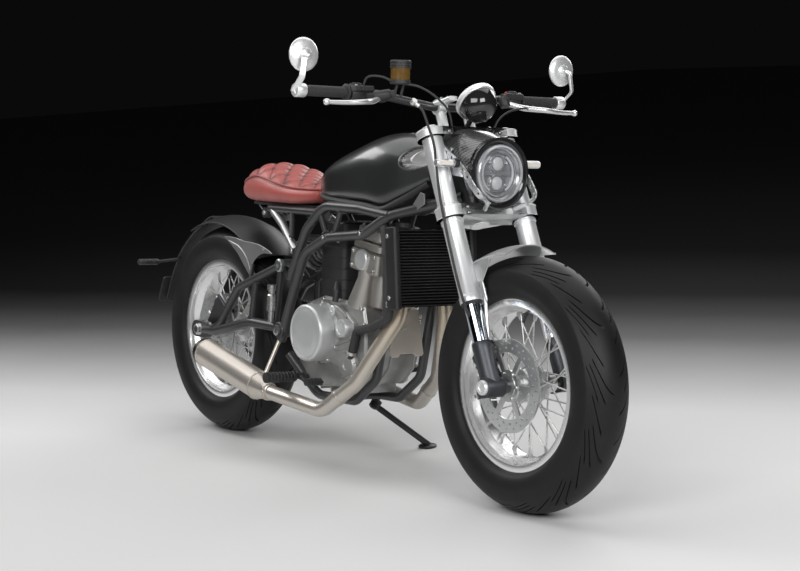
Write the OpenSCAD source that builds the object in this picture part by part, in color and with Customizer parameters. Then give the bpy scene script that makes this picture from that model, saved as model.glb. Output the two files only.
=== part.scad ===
// Bobber motorcycle, leaning on its side stand.
// X points forward, Y to the rider's left, Z up. Every module draws in the upright frame of the
// machine: rear axle at x = 0, middle plane at y = 0, road at z = 0. parked() then leans it.

/* [Stance] */
// Distance between the two axles
wheelbase = 1440; // [1380:10:1500]
// Angle of lean onto the side stand
lean = 6; // [4:0.5:9]
// Steering head angle from the vertical
rake = 24.5; // [22:0.5:30]
// Steering axis to fork leg line, square to both
fork_offset = 38; // [30:1:45]

/* [Wheels and tyres] */
// Outer radius of both tyres
tyre_r = 323; // [315:1:330]
// Section width of both tyres
tyre_w = 146; // [130:2:150]
// Bead seat radius of a 16 inch rim
bead_r = 203.2; // [203.2]
// Height of the rim flange over the bead seat
flange_h = 13; // [10:1:15]
// Half width of the rim between its flanges
rim_half = 48; // [42:1:52]
// Spokes in each wheel
spoke_count = 36; // [28:4:40]
// Radius of a spoke
spoke_r = 2; // [1.5:0.25:2.5]
// Radius of both wheel axles
axle_r = 10; // [8:0.5:12]

/* [Brakes and drive] */
// Outer radius of the front disc
front_disc_r = 118; // [105:1:125]
// Outer radius of the rear disc
rear_disc_r = 108; // [100:1:112]
// Thickness of both discs
disc_t = 5; // [4:0.5:6]
// Middle plane of both discs, from the middle of the machine
disc_y = 66; // [62:1:70]
// Chain pitch
chain_pitch = 15.875; // [15.875]
// Teeth on the rear sprocket
rear_teeth = 42; // [38:1:44]
// Teeth on the front sprocket
front_teeth = 14; // [13:1:16]
// Middle plane of the chain, from the middle of the machine
chain_y = 92; // [90:1:96]

/* [Fork] */
// Half distance between the fork legs
fork_half = 120; // [116:1:124]
// Radius of a fork's outer tube
fork_outer_r = 27; // [24:1:28]
// Radius of a fork's inner tube
fork_inner_r = 21.5; // [20:0.5:22]
// Lower end of the outer tubes above the axle, along the fork
outer_low = 227; // [200:1:250]
// Top of the outer tubes above the axle, along the fork
fork_top = 690; // [670:1:710]
// Middle of the lower yoke above the axle, along the fork
lower_yoke = 459; // [440:1:480]
// Radius of the steering stem
stem_r = 15; // [13:1:17]

/* [Handlebar] */
// Half width of the handlebar
bar_half = 432; // [400:2:450]
// Radius of the handlebar tube
bar_r = 11; // [11:0.5:14]
// Height of the grips above the axle, along the fork
grip_up = 831; // [800:1:850]
// Grips behind the fork leg line
grip_back = 88; // [70:1:110]
// Length of a grip
grip_len = 130; // [115:1:140]

/* [Frame] */
// Radius of the main frame tubes
tube_r = 14; // [12:0.5:16]
// Half distance between the main side tubes
side_half = 128; // [122:1:130]
// Half distance between the cradle tubes
cradle_half = 75; // [70:1:80]
// Height of the swingarm pivot
pivot_z = 367; // [350:1:380]
// Swingarm pivot ahead of the rear axle
pivot_x = 473; // [460:1:490]
// Half distance between the swingarm sides
arm_half = 118; // [112:1:122]
// Radius of the lower swingarm tubes
arm_r = 15; // [13:0.5:17]
// Half distance between the frame's pivot bosses
boss_y = 110; // [108:1:114]
// Radius of the swingarm's pivot bolt
pivot_r = 9; // [8:0.5:10]

/* [Exhaust] */
// Radius of a header pipe
header_r = 21; // [18:1:23]
// Radius of a muffler
muffler_r = 42; // [36:1:46]

/* [Side stand] */
// Stand pivot ahead of the rear axle
stand_x = 650; // [600:5:700]
// Stand foot to the side of the middle plane
stand_reach = 258; // [240:2:280]

/* [Hidden] */
$fn = 48;

// Middle of the parked machine's box, so that it stands on the origin
origin_x = 673;
origin_y = 118;
// Radius of the tyre's crown, and how far leaning on it lowers the machine
crown_r = 84;
drop = crown_r * (1 - cos(lean));
// Running clearance of an axle in its hub and a stem in its head
running = 0.05;
// Clearance of pieces that meet without a fit
seam = 0.4;
// Sides of a bent tube, and the angle that one of its rings turns
tube_sides = 14;
bend_step = 12;

function unit(v) = v / norm(v);

// Draws what stands on +Z at a point, turned to a direction
module aim(at, d) {
    z = unit(d);
    x = unit(cross(abs(z.z) > 0.9 ? [0, 1, 0] : [0, 0, 1], z));
    y = cross(z, x);
    multmatrix([
        [x.x, y.x, z.x, at.x], [x.y, y.y, z.y, at.y], [x.z, y.z, z.z, at.z], [0, 0, 0, 1]
    ]) children();
}

// Draws with local X and Y turned to two square directions
module lay(at, x, y) {
    z = cross(x, y);
    multmatrix([
        [x.x, y.x, z.x, at.x], [x.y, y.y, z.y, at.y], [x.z, y.z, z.z, at.z], [0, 0, 0, 1]
    ]) children();
}

module rod(a, b, r) aim(a, b - a) cylinder(r = r, h = norm(b - a));

// Centres and directions of a bent tube's rings, with one bend radius at each inner point
function tube_line(pts, bend) = let (
    last = len(pts) - 1,
    dir = [for (i = [0:last - 1]) unit(pts[i + 1] - pts[i])]
) [
    [pts[0], dir[0]],
    for (i = [1:last - 1]) let (
        d = dir[i - 1],
        turn = acos(d * dir[i]),
        side = unit(dir[i] - d * (d * dir[i])),
        centre = pts[i] - d * bend * tan(turn / 2) + side * bend,
        steps = max(1, ceil(turn / bend_step))
    ) for (k = [0:steps]) let (a = turn * k / steps)
        [centre + bend * (d * sin(a) - side * cos(a)), d * cos(a) + side * sin(a)],
    [pts[last], dir[last - 1]]
];

// A round tube along a line of bends; across is a direction that the tube never takes
module bent(pts, r, bend, across = [0, 1, 0]) skin([
    for (p = tube_line(pts, bend)) let (
        x = unit(cross(across, p[1])),
        y = cross(p[1], x)
    ) [for (i = [0:tube_sides - 1]) let (a = 360 * (i + 0.5) / tube_sides)
        p[0] + r * (x * cos(a) + y * sin(a))]
]);

module both() {
    children();
    mirror([0, 1, 0]) children();
}

// Leans the upright machine on its stand and puts its box on the origin
module parked()
    translate([-origin_x, -origin_y, drop]) rotate([-lean, 0, 0]) children();

// The fork's own frame: front axle at its origin, Z up along the legs
module on_fork() translate([wheelbase, 0, tyre_r]) rotate([0, -rake, 0]) children();

// A wheel's own frame: axle along Z, the machine's right side at +Z
module on_wheel(x) translate([x, 0, tyre_r]) rotate([90, 0, 0]) children();

// Skins rings of points into one closed solid
module skin(rings) {
    n = len(rings[0]);
    m = len(rings);
    faces = [
        [for (i = [0:n - 1]) i],
        for (j = [0:m - 2], i = [0:n - 1])
            [j * n + i, (j + 1) * n + i, (j + 1) * n + (i + 1) % n, j * n + (i + 1) % n],
        [for (i = [0:n - 1]) m * n - 1 - i]
    ];
    polyhedron([for (ring = rings) each ring], faces);
}

function power(v, p) = sign(v) * pow(abs(v), p);

// A ring across the machine: x, half width, bottom, top, squareness
function body_ring(x, w, low, high, soft, n = 28) = [
    for (i = [0:n - 1])
        let (a = 360 * (i + 0.5) / n)
        [x, w * power(cos(a), soft), (low + high) / 2 + (high - low) / 2 * power(sin(a), soft)]
];

// Wheels

function tyre_outline() = let (
    spread = asin(0.94 * tyre_w / 2 / crown_r),
    crown = [for (i = [-6:6]) let (a = i * spread / 6)
        [tyre_r - crown_r + crown_r * cos(a), crown_r * sin(a)]]
) [
    each crown,
    [bead_r + 52, tyre_w / 2],
    [bead_r + 26, tyre_w / 2 - 7],
    [bead_r + flange_h + 1, rim_half],
    [bead_r + 1, rim_half - seam],
    [bead_r + 1, seam - rim_half],
    [bead_r + flange_h + 1, -rim_half],
    [bead_r + 26, 7 - tyre_w / 2],
    [bead_r + 52, -tyre_w / 2]
];

module tyre(x) color("#1b1b1c") on_wheel(x) rotate_extrude() polygon(tyre_outline());

// Half of the rim's outline: radius over the bead seat, distance from the middle plane
rim_half_outline = [
    [-15, 0], [-15, 20], [0, 34], [0, rim_half], [flange_h, rim_half],
    [flange_h + 1, rim_half + 2], [flange_h, rim_half + 4.5], [-5, rim_half + 4.5],
    [-6, 38], [-19, 22], [-19, 0]
];

module rim(x) color("silver") on_wheel(x) rotate_extrude() translate([bead_r, 0])
    union() {
        polygon(rim_half_outline);
        mirror([0, 1]) polygon(rim_half_outline);
    }

// One wheel's spokes, laced in crossing pairs from flange to rim
module spokes(x, flange_r, flange_y) color("silver") on_wheel(x)
    for (i = [0:spoke_count - 1]) {
        side = i % 2 == 0 ? 1 : -1;
        way = floor(i / 2) % 2 == 0 ? 1 : -1;
        at = i * 360 / spoke_count;
        from = at + way * 52;
        rod(
            [(flange_r - 5) * cos(from), (flange_r - 5) * sin(from), side * (flange_y - 2 + 2 * way)],
            [(bead_r - 16) * cos(at), (bead_r - 16) * sin(at), side * 9],
            spoke_r
        );
    }

module disc(r, hub) difference() {
    cylinder(r = r, h = disc_t, center = true);
    cylinder(r = r - 34, h = disc_t + 2, center = true);
    for (i = [0:23], k = [0:1])
        rotate(i * 15 + k * 7.5) translate([r - 11 - 12 * k, 0])
            cylinder(r = 3.2, h = disc_t + 2, center = true);
}

module disc_carrier(r, hub_r) difference() {
    union() {
        cylinder(r = hub_r + 12, h = 8, center = true);
        for (i = [0:5]) rotate(i * 60) translate([0, -7, -3]) cube([r - 30, 14, 6]);
    }
    cylinder(r = hub_r - 1, h = 10, center = true);
}

module hub(x, flange_r, flange_y, disc_r) on_wheel(x) {
    difference() {
        rotate_extrude() polygon([
            [0, -chain_y + 18], [24, -chain_y + 18], [24, -flange_y - 4], [flange_r, -flange_y - 4],
            [flange_r, -flange_y + 4], [26, -flange_y + 9], [26, flange_y - 9],
            [flange_r, flange_y - 4], [flange_r, flange_y + 4], [28, flange_y + 5],
            [28, disc_y + 6], [0, disc_y + 6]
        ]);
        cylinder(r = axle_r + running, h = 400, center = true);
    }
    translate([0, 0, disc_y]) disc(disc_r);
    translate([0, 0, disc_y]) disc_carrier(disc_r, 28);
}

module rear_tyre() tyre(0);
module front_tyre() tyre(wheelbase);
module rear_rim() rim(0);
module front_rim() rim(wheelbase);
module rear_spokes() spokes(0, 46, 32);
module front_spokes() spokes(wheelbase, 42, 32);
module front_hub() color("silver") hub(wheelbase, 42, 32, front_disc_r);

rear_sprocket_r = chain_pitch * rear_teeth / (2 * PI);
front_sprocket_r = chain_pitch * front_teeth / (2 * PI);

module sprocket(r, teeth) linear_extrude(7, center = true) difference() {
    polygon([for (i = [0:4 * teeth - 1])
        let (a = i * 90 / teeth, tip = i % 4 < 2 ? 3 : -4) [(r + tip) * cos(a), (r + tip) * sin(a)]]);
    circle(24);
    for (i = [0:5]) rotate(i * 60) translate([r * 0.66, 0]) circle(r * 0.2);
}

module rear_hub() color("silver") {
    hub(0, 46, 32, rear_disc_r);
    on_wheel(0) translate([0, 0, -chain_y]) sprocket(rear_sprocket_r - 4.5, rear_teeth);
    on_wheel(0) translate([0, 0, -chain_y - 3.5]) difference() {
        cylinder(r = 34, h = 24);
        translate([0, 0, -1]) cylinder(r = axle_r + running, h = 30);
    }
}

// Axles with what they clamp

module nut(y, r, h) translate([0, y, 0]) rotate([90, 0, 0]) difference() {
    cylinder(r = r, h = h);
    translate([0, 0, h - 6]) cylinder(r = r - 8, h = 7);
}

// A brake caliper that straddles a disc, at an angle round the axle
module caliper(disc_r, at) rotate([90, 0, 0]) translate([0, 0, disc_y]) rotate(at)
    difference() {
        translate([disc_r - 42, -42, -22]) cube([58, 84, 44]);
        cylinder(r = disc_r + 6, h = disc_t + 8, center = true);
        for (k = [-1, 1]) translate([disc_r + 16, 42 * k, 0]) rotate(45)
            cube([18, 18, 100], center = true);
    }

// The plate that ties a caliper to its axle
module caliper_plate(disc_r, at) rotate([90, 0, 0]) translate([0, 0, disc_y + 22 - seam]) rotate(at)
    linear_extrude(5 + seam) hull() {
        circle(24);
        translate([disc_r, 0]) square([20, 60], center = true);
    }

module front_axle() color("dimgray") on_fork() {
    rod([0, -fork_half - 28, 0], [0, fork_half + 28, 0], axle_r);
    both() nut(-fork_half - 28, 19, 9);
    rotate([0, rake, 0]) caliper(front_disc_r, 142);
    rotate([0, rake, 0]) caliper_plate(front_disc_r, 142);
}

module rear_axle() color("dimgray") translate([0, 0, tyre_r]) {
    rod([0, -arm_half - 24, 0], [0, arm_half + 24, 0], axle_r);
    both() nut(-arm_half - 22, 17, 10);
    caliper(rear_disc_r, 52);
    caliper_plate(rear_disc_r, 52);
}

// Final drive

module chain_outline(grow) hull() {
    translate([0, tyre_r]) circle(rear_sprocket_r + grow, $fn = 96);
    translate([pivot_x + 62, pivot_z + 8]) circle(front_sprocket_r + grow, $fn = 64);
}

module chain() color("#33312e") translate([0, chain_y + 8, 0]) rotate([90, 0, 0])
    linear_extrude(16) difference() {
        chain_outline(8);
        chain_outline(-1);
    }

// Frame

// Upper and lower side tubes: x, y, z of the bends on the right
lower_rail = [
    [1180, -26, 782], [985, -side_half + 4, 722], [880, -side_half, 668],
    [705, -side_half, 650], [588, -side_half, 598], [508, -side_half + 4, 430],
    [pivot_x, -side_half + 4, pivot_z - 30]
];
upper_rail = [
    [990, -side_half + 6, 724], [860, -side_half, 737], [690, -side_half, 738],
    [598, -side_half, 668], [514, -side_half + 4, 520]
];
// Braces between the two tubes: top x, bottom x
braces = [[655, 700], [770, 735]];

module frame_side() {
    bent(lower_rail, tube_r, 90);
    bent(upper_rail, tube_r, 90);
    for (b = braces)
        rod([b[0], -side_half, 733], [b[1], -side_half, 655], tube_r * 0.6);
}

module pivot_bore() translate([pivot_x, 0, pivot_z]) rotate([90, 0, 0])
    cylinder(r = pivot_r + running, h = 400, center = true);

module frame_half() difference() {
    union() {
        frame_side();
        translate([pivot_x, -boss_y - 28, pivot_z]) rotate([-90, 0, 0]) cylinder(r = 24, h = 28);
    }
    pivot_bore();
}

module frame_right() color("#4a4c4e") frame_half();
module frame_left() color("#4a4c4e") mirror([0, 1, 0]) frame_half();

// The steering head with its gussets and the backbone that the tank sits on
head_low = lower_yoke + 24;
head_high = fork_top - 34;

module headstock() color("#4a4c4e") {
    on_fork() translate([-fork_offset, 0, 0]) difference() {
        translate([0, 0, head_low]) cylinder(r = 31, h = head_high - head_low);
        translate([0, 0, head_low - 1]) cylinder(r = stem_r + running, h = head_high);
    }
    both() rotate([90, 0, 0]) translate([0, 0, 22]) linear_extrude(6)
        polygon([[1196, 766], [1130, 900], [1100, 880], [1050, 790], [1090, 750]]);
    bent([[1155, 0, 800], [980, 0, 738], [640, 0, 744]], 15, 90);
}

// Down tubes and lower rails in front of and below the engine
cradle_rail = [
    [960, -118, 704], [942, -92, 620], [926, -cradle_half, 452], [886, -cradle_half, 270],
    [790, -cradle_half, 198], [600, -cradle_half, 192], [500, -side_half + 14, 300]
];

module cradle() color("#4a4c4e") {
    both() bent(cradle_rail, tube_r - 1, 50);
    rod([700, -cradle_half, 195], [700, cradle_half, 195], tube_r * 0.7);
    stand_mount();
}

// The swingarm's pivot bolt with its spacer tube, and what joins the two frame sides
module pivot() {
    translate([pivot_x, 0, pivot_z]) rotate([90, 0, 0]) {
        cylinder(r = 17, h = 2 * (boss_y - 30), center = true);
        cylinder(r = pivot_r, h = 2 * boss_y + 64, center = true);
        for (k = [-1, 1]) translate([0, 0, k * (boss_y + 32)]) cylinder(r = 15, h = 8, center = true);
    }
}

module seat_rails() color("#4a4c4e") {
    both() bent([
        [626, -side_half + 16, 716], [560, -104, 716], [180, -78, 716], [110, -40, 722], [100, 0, 724]
    ], 11, 30, [0, 0, 1]);
    both() rod([245, -80, 716], [548, -side_half + 6, 590], 11);
    both() rod([378, -88, 716], [430, -98, 640], 8);
    translate([110, -95, seat_z - 8]) cube([436, 190, 8]);
}

// Swingarm

lower_arm = [[pivot_x, -boss_y + 16, pivot_z], [285, -arm_half + 4, 372], [90, -arm_half, 326], [20, -arm_half, 323]];
upper_arm = [[436, -arm_half + 20, 556], [215, -arm_half, 470], [112, -arm_half, 348], [60, -arm_half, 326]];

module swingarm_side() {
    bent(lower_arm, arm_r, 120);
    bent(upper_arm, arm_r - 2, 60);
    rod([400, -boss_y + 8, 369], [425, -arm_half + 19, 552], arm_r - 4);
    rod([285, -arm_half + 4, 372], [300, -arm_half + 8, 504], arm_r - 6);
    translate([0, -arm_half, tyre_r]) difference() {
        hull() for (x = [-26, 26]) translate([x, 9, 0]) rotate([90, 0, 0]) cylinder(r = 26, h = 18);
        rotate([90, 0, 0]) cylinder(r = axle_r + running, h = 60, center = true);
    }
    translate([pivot_x, -boss_y + 29, pivot_z]) rotate([90, 0, 0]) cylinder(r = 21, h = 29 - seam);
}

module swingarm_half() difference() {
    swingarm_side();
    pivot_bore();
}

module swingarm_right() color("#4a4c4e") swingarm_half();
module swingarm_left() color("#4a4c4e") mirror([0, 1, 0]) swingarm_half();

module rear_shock() color("#8c8f92") {
    pivot();
    rod([430, -100, 558], [430, 100, 558], 12);
    rod([430, 0, 558], [585, 0, 640], 26);
    for (k = [0:6]) {
        p = [440, 0, 563] + k * 0.13 * [150, 0, 79];
        aim(p, [150, 0, 79]) rotate_extrude() translate([30, 0]) circle(4.5);
    }
    rod([585, -side_half, 640], [585, side_half, 640], 11);
}

// Engine

case_outline = [
    [512, 300], [520, 400], [560, 452], [640, 478], [835, 470], [850, 420], [852, 330],
    [838, 290], [790, 242], [640, 225], [545, 240]
];

module crankcase() color("#b5b5b3") {
    rotate([90, 0, 0]) linear_extrude(188, center = true) offset(12) offset(-12) polygon(case_outline);
    translate([905, 0, 398]) rotate([0, 76, 0]) linear_extrude(5, center = true)
        offset(14) square([112, 84], center = true);
    rod([840, 0, 400], [905, 0, 398], 14);
}

module cylinder_head() color("#c9c5bd") translate([812, 0, 470]) rotate([0, 8, 0]) {
    for (k = [0:7]) translate([-68, -72, 4 + 11 * k]) cube([136, 144, 6]);
    translate([-60, -64, 0]) cube([120, 128, 92]);
    translate([-70, -92, 92]) cube([138, 184, 84]);
    translate([-58, -84, 176]) cube([116, 168, 42]);
}

module engine_covers() color("#c6c6c4") {
    translate([657, -94, 379]) rotate([90, 0, 0]) rotate_extrude() polygon([
        [0, 0], [82, 0], [82, 38], [76, 46], [62, 48], [60, 66], [52, 72], [0, 72]
    ]);
    translate([778, -94, 402]) rotate([90, 0, 0]) cylinder(r = 26, h = 34);
    translate([790, -94, 300]) rotate([90, 0, 0]) cylinder(r = 34, h = 20);
    translate([640, 94, 372]) rotate([-90, 0, 0]) rotate_extrude() polygon([
        [0, 0], [70, 0], [70, 26], [60, 36], [0, 40]
    ]);
}

module airbox() color("#1e1e1f") translate([606, -86, 470]) cube([120, 172, 222]);

module radiator() color("#1c1d1e") translate([1022, 0, 588]) rotate([0, -6, 0]) {
    for (k = [0:25]) translate([-14, -118, -104 + 8 * k]) cube([32, 236, 3]);
    translate([-10, -118, -108]) cube([24, 236, 212]);
    both() translate([-22, -140, -112]) cube([46, 22, 220]);
}

module coolant_hoses() color("#171717") {
    bent([[1010, 22, 672], [950, 22, 678], [878, 22, 650]], 13, 40);
    bent([[1012, -124, 500], [1000, -124, 450], [930, -124, 420], [830, -107, 400], [806, -107, 322]], 12, 24);
}

// Exhausts

header_route = [
    [888, -38, 604], [988, -56, 590], [985, -80, 450], [880, -140, 262], [760, -168, 173],
    [514, -185, 194]
];
muffler_from = [514, -185, 194];
muffler_to = [133, -190, 274];

module exhaust() {
    bent(header_route, header_r, 66);
    aim(muffler_from, muffler_to - muffler_from) difference() {
        rotate_extrude() polygon([
            [0, -6], [header_r + 3, -6], [header_r + 3, 12], [muffler_r, 60],
            [muffler_r, 372], [muffler_r - 6, 386], [0, 386]
        ]);
        translate([0, 0, 330]) cylinder(r = 26, h = 80);
    }
    rod([470, -182, 228], [474, -boss_y - 18, 346], 6);
}

module exhaust_right() color("#b9b2a6") exhaust();
module exhaust_left() color("#b9b2a6") mirror([0, 1, 0]) exhaust();

// Bodywork

// Tank sections: x, half width, bottom, top
tank_table = [
    [556, 64, 792, 822], [600, 96, 773, 866], [680, 120, 768, 905], [780, 134, 761, 932],
    [880, 138, 752, 945], [960, 132, 745, 944], [1018, 112, 752, 928], [1060, 88, 776, 904],
    [1096, 74, 800, 884]
];

module tank() color("#2b2d30")
    skin([for (s = tank_table) body_ring(s[0], s[1], s[2], s[3], 0.72)]);

// Top of the plate that the seat lies on
seat_z = 732;
// Seat sections: x, half width, bottom above the plate, top
seat_table = [
    [62, 42, 20, 776], [100, 74, 6, 806], [170, 98, seam, 833], [255, 112, seam, 848],
    [320, 118, seam, 838], [400, 121, seam, 817], [480, 118, seam, 806], [540, 104, 8, 806],
    [552, 92, 14, 800]
];

module seat() color("#6d1418")
    skin([for (s = seat_table) body_ring(s[0], s[1], seat_z + s[2], s[3], 0.6)]);

// A mudguard's section: an arched sheet, radius and width
function guard_outline(r, half, arch, t) = [
    each [for (k = [-6:6]) [r - arch * pow(k / 6, 2), half * k / 6]],
    each [for (k = [6:-1:-6]) [r - t - arch * pow(k / 6, 2), half * k / 6]]
];

module guard(x, r, half, arch, from, to) on_wheel(x) rotate(from)
    rotate_extrude(angle = to - from) polygon(guard_outline(r, half, arch, 3));

module rear_fender() color("#202123") {
    guard(0, 356, 84, 24, 44, 128);
    both() rod([142, -81, 624], [196, -80, 710], 6);
}

module tail_hanger() color("#2a2a2b") {
    both() rod([-147, -60, 636], [-342, -30, 536], 6);
    translate([-380, 0, 470]) rotate([0, 29, 0]) {
        translate([-3, -90, -70]) cube([4, 180, 130]);
        translate([1, -34, 60]) cube([14, 68, 26]);
    }
    both() rod([-336, -20, 540], [-330, -160, 509], 5);
    both() aim([-338, -165, 509], [1, 0, 0]) cylinder(r = 16, h = 26);
}

// Foot controls

module foot_controls_right() color("#3a3b3c") {
    rod([562, -88, 236], [585, -124, 246], 12);
    rod([585, -118, 246], [588, -250, 248], 9);
    rod([588, -150, 247], [588, -246, 248], 13);
    bent([[576, -130, 250], [650, -148, 236], [730, -150, 248], [732, -205, 252]], 6, 16);
    rod([411, -121, 428], [413, -121, 470], 12);
}

module foot_controls_left() color("#3a3b3c") {
    rod([585, 118, 246], [588, 250, 248], 9);
    rod([588, 150, 247], [588, 246, 248], 13);
    bent([[576, 130, 252], [650, 140, 262], [732, 142, 268], [734, 200, 270]], 5, 14);
    rod([562, 88, 236], [585, 124, 246], 12);
}

// Steering

module fork_outers() color("#c9ccd0") on_fork() both() translate([0, -fork_half, 0])
    difference() {
        union() {
            translate([0, 0, outer_low]) cylinder(r = fork_outer_r, h = fork_top - outer_low);
            translate([0, 0, outer_low - 6]) cylinder(r = fork_outer_r + 2, h = 16);
            translate([0, 0, fork_top]) cylinder(r = 21, h = 8);
        }
        translate([0, 0, outer_low - 8]) cylinder(r = fork_inner_r + seam, h = 90);
    }

module fork_lowers() color("#3b3f46") on_fork() both() difference() {
    union() {
        translate([0, -fork_half, 40]) cylinder(r = fork_inner_r, h = outer_low + 20);
        translate([0, -fork_half, -14]) cylinder(r = 25, h = 130);
        translate([0, -fork_half + 27, 0]) rotate([90, 0, 0]) cylinder(r = 26, h = 54);
        translate([-58, -fork_half + 8, -16]) cube([50, 16, 34]);
    }
    rotate([90, 0, 0]) cylinder(r = axle_r + running, h = 400, center = true);
}

module yoke_plate(h) difference() {
    linear_extrude(h, center = true) hull() {
        for (s = [-1, 1]) translate([0, s * fork_half]) circle(fork_outer_r + 10);
        translate([-fork_offset, 0]) circle(30);
    }
    for (s = [-1, 1]) translate([0, s * fork_half, 0])
        cylinder(r = fork_outer_r + running, h = h + 2, center = true);
    translate([26, 0, 0]) cylinder(r = 34, h = h + 2, center = true);
}

module yokes() color("#3c3e40") on_fork() {
    translate([0, 0, lower_yoke]) yoke_plate(30);
    translate([0, 0, fork_top - 14]) yoke_plate(22);
    translate([-fork_offset, 0, lower_yoke - 15])
        cylinder(r = stem_r, h = fork_top - lower_yoke + 12);
    translate([-fork_offset, 0, fork_top - 3]) cylinder(r = 15, h = 8, $fn = 6);
}

bar_mid = [-30, 0, fork_top + 82];
bar_route = [
    bar_mid + [0, 70, 0], [-grip_back, 196, grip_up], [-grip_back, bar_half, grip_up]
];

module handlebar() color("#3a3c3e") on_fork() {
    rod(bar_mid - [0, 71, 0], bar_mid + [0, 71, 0], bar_r);
    both() bent([bar_mid + [0, 60, 0], each bar_route], bar_r, 60, [1, 0, 0]);
    both() rod([-34, 45, fork_top - 3], bar_mid + [0, 45, 0], 14);
    both() translate(bar_mid + [0, 45, 0]) rotate([90, 0, 0]) cylinder(r = 20, h = 26, center = true);
}

module bar_controls() color("#1a1a1a") on_fork() {
    both() translate([-grip_back, -bar_half + grip_len + 12, grip_up]) rotate([90, 0, 0])
        difference() {
            union() {
                cylinder(r = 16.5, h = grip_len);
                translate([0, 0, -3]) cylinder(r = 22, h = 6);
                translate([0, 0, grip_len]) cylinder(r = 15, h = 24);
            }
            translate([0, 0, -10]) cylinder(r = bar_r + running, h = grip_len + 22);
        }
    both() translate([-grip_back, -bar_half + grip_len + 60, grip_up]) rotate([90, 0, 0])
        difference() {
            cylinder(r = 21, h = 38);
            translate([0, 0, -1]) cylinder(r = bar_r + running, h = 50);
        }
    both() bent([
        [-grip_back + 18, -bar_half + grip_len + 40, grip_up], [-18, -bar_half + grip_len + 20, grip_up - 10],
        [-4, -bar_half + 18, grip_up - 72]
    ], 6, 20, [0, 0, 1]);
    translate([-30, -232, grip_up + 2]) cylinder(r = 18, h = 42);
    rod([-70, -236, grip_up], [-28, -232, grip_up + 8], 11);
}

module mirrors() color("silver") on_fork() both() {
    bent([
        [-grip_back + 16, -bar_half + grip_len + 62, grip_up + 14],
        [-60, -262, grip_up + 60], [-34, -bar_half + 4, grip_up + 76]
    ], 5, 24, [1, 0, 0]);
    translate([-34, -bar_half + 3, grip_up + 72]) rotate([0, rake, 0]) rotate([0, 90, 0])
        cylinder(r = 46, h = 13, center = true);
}

// Lamp centre in the fork's frame
lamp = [86, 0, 536];

module headlamp() color("#d8dadb") on_fork() translate(lamp) rotate([0, rake, 0]) rotate([0, -90, 0])
    rotate_extrude() polygon([
        [0, -6], [40, -3], [64, 4], [72, 4], [72, 16], [68, 18], [66, 50], [52, 74], [30, 86], [0, 88]
    ]);

module nacelle() color("#222224") on_fork() translate(lamp) rotate([0, rake, 0]) rotate([0, -90, 0])
    rotate_extrude() polygon([
        [72.5, 4], [86, 6], [94, 26], [93, 56], [90, 56], [90, 28], [83, 18], [72.5, 18]
    ]);

module lamp_brackets() color("#b9bcc0") on_fork() both() {
    translate([0, -93, 0]) rotate([90, 0, 0]) linear_extrude(5) difference() {
        polygon([[6, 490], [80, 500], [84, 560], [6, 600]]);
        for (p = [[26, 520], [52, 524], [26, 560], [52, 552]]) translate(p) circle(9);
    }
    rod([50, -98, 579], [50, -160, 579], 5);
    translate([62, -170, 579]) rotate([0, rake, 0]) rotate([0, -90, 0]) cylinder(r = 15, h = 30);
}

module gauge() color("#141414") on_fork() {
    translate([58, 0, 746]) rotate([0, -22, 0]) {
        translate([0, 0, -26]) cylinder(r1 = 34, r2 = 47, h = 22);
        translate([0, 0, -5]) cylinder(r = 47, h = 22);
    }
    rod([52, 0, 738], [-24, 0, fork_top - 6], 7);
}

module front_fender() color("#c4c6c8") {
    guard(wheelbase, 352, 83, 20, 78, 126);
    both() translate([0, -79, 0]) on_wheel(wheelbase) rotate(98)
        rotate_extrude(angle = 24) translate([246, 0]) square([87, 3]);
    on_fork() both() rod([14, -80.5, 254], [-2, -fork_half + 24, 112], 5);
}

// Side stand, drawn as it is parked: pivot, foot and folded direction in the upright frame
stand_pivot = [stand_x, 88, 158];
stand_foot = [stand_x + 40, stand_reach, (stand_reach * sin(lean) - drop + 9) / cos(lean)];
stand_axis = unit(cross(stand_foot - stand_pivot, [-1, 0.056, -0.028]));
stand_pin_r = 6;
stand_eye = 8;

// The lug, pin and pin head that carry the stand
module stand_mount() {
    aim(stand_pivot, stand_axis) {
        translate([0, 0, stand_eye + seam]) cylinder(r = 16, h = 9);
        translate([0, 0, -stand_eye - 2]) cylinder(r = stand_pin_r, h = 2 * stand_eye + 6);
        translate([0, 0, -stand_eye - seam - 3]) cylinder(r = 10, h = 3);
    }
    rod(stand_pivot + stand_axis * (stand_eye + 13), [stand_x, cradle_half, 193], 11);
}

module side_stand() color("#2c2d2e") difference() {
    union() {
        rod(stand_pivot, stand_foot, 9);
        aim(stand_pivot, stand_axis) translate([0, 0, -stand_eye]) cylinder(r = 15, h = 2 * stand_eye);
        translate(stand_foot) rotate([lean, 0, 0]) translate([-4, 0, -9]) cylinder(r = 27, h = 8);
    }
    aim(stand_pivot, stand_axis) {
        cylinder(r = stand_pin_r + running, h = 60, center = true);
        for (k = [-1, 1]) translate([0, 0, k * (stand_eye + 20)])
            cylinder(r = 18, h = 40, center = true);
    }
}

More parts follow.
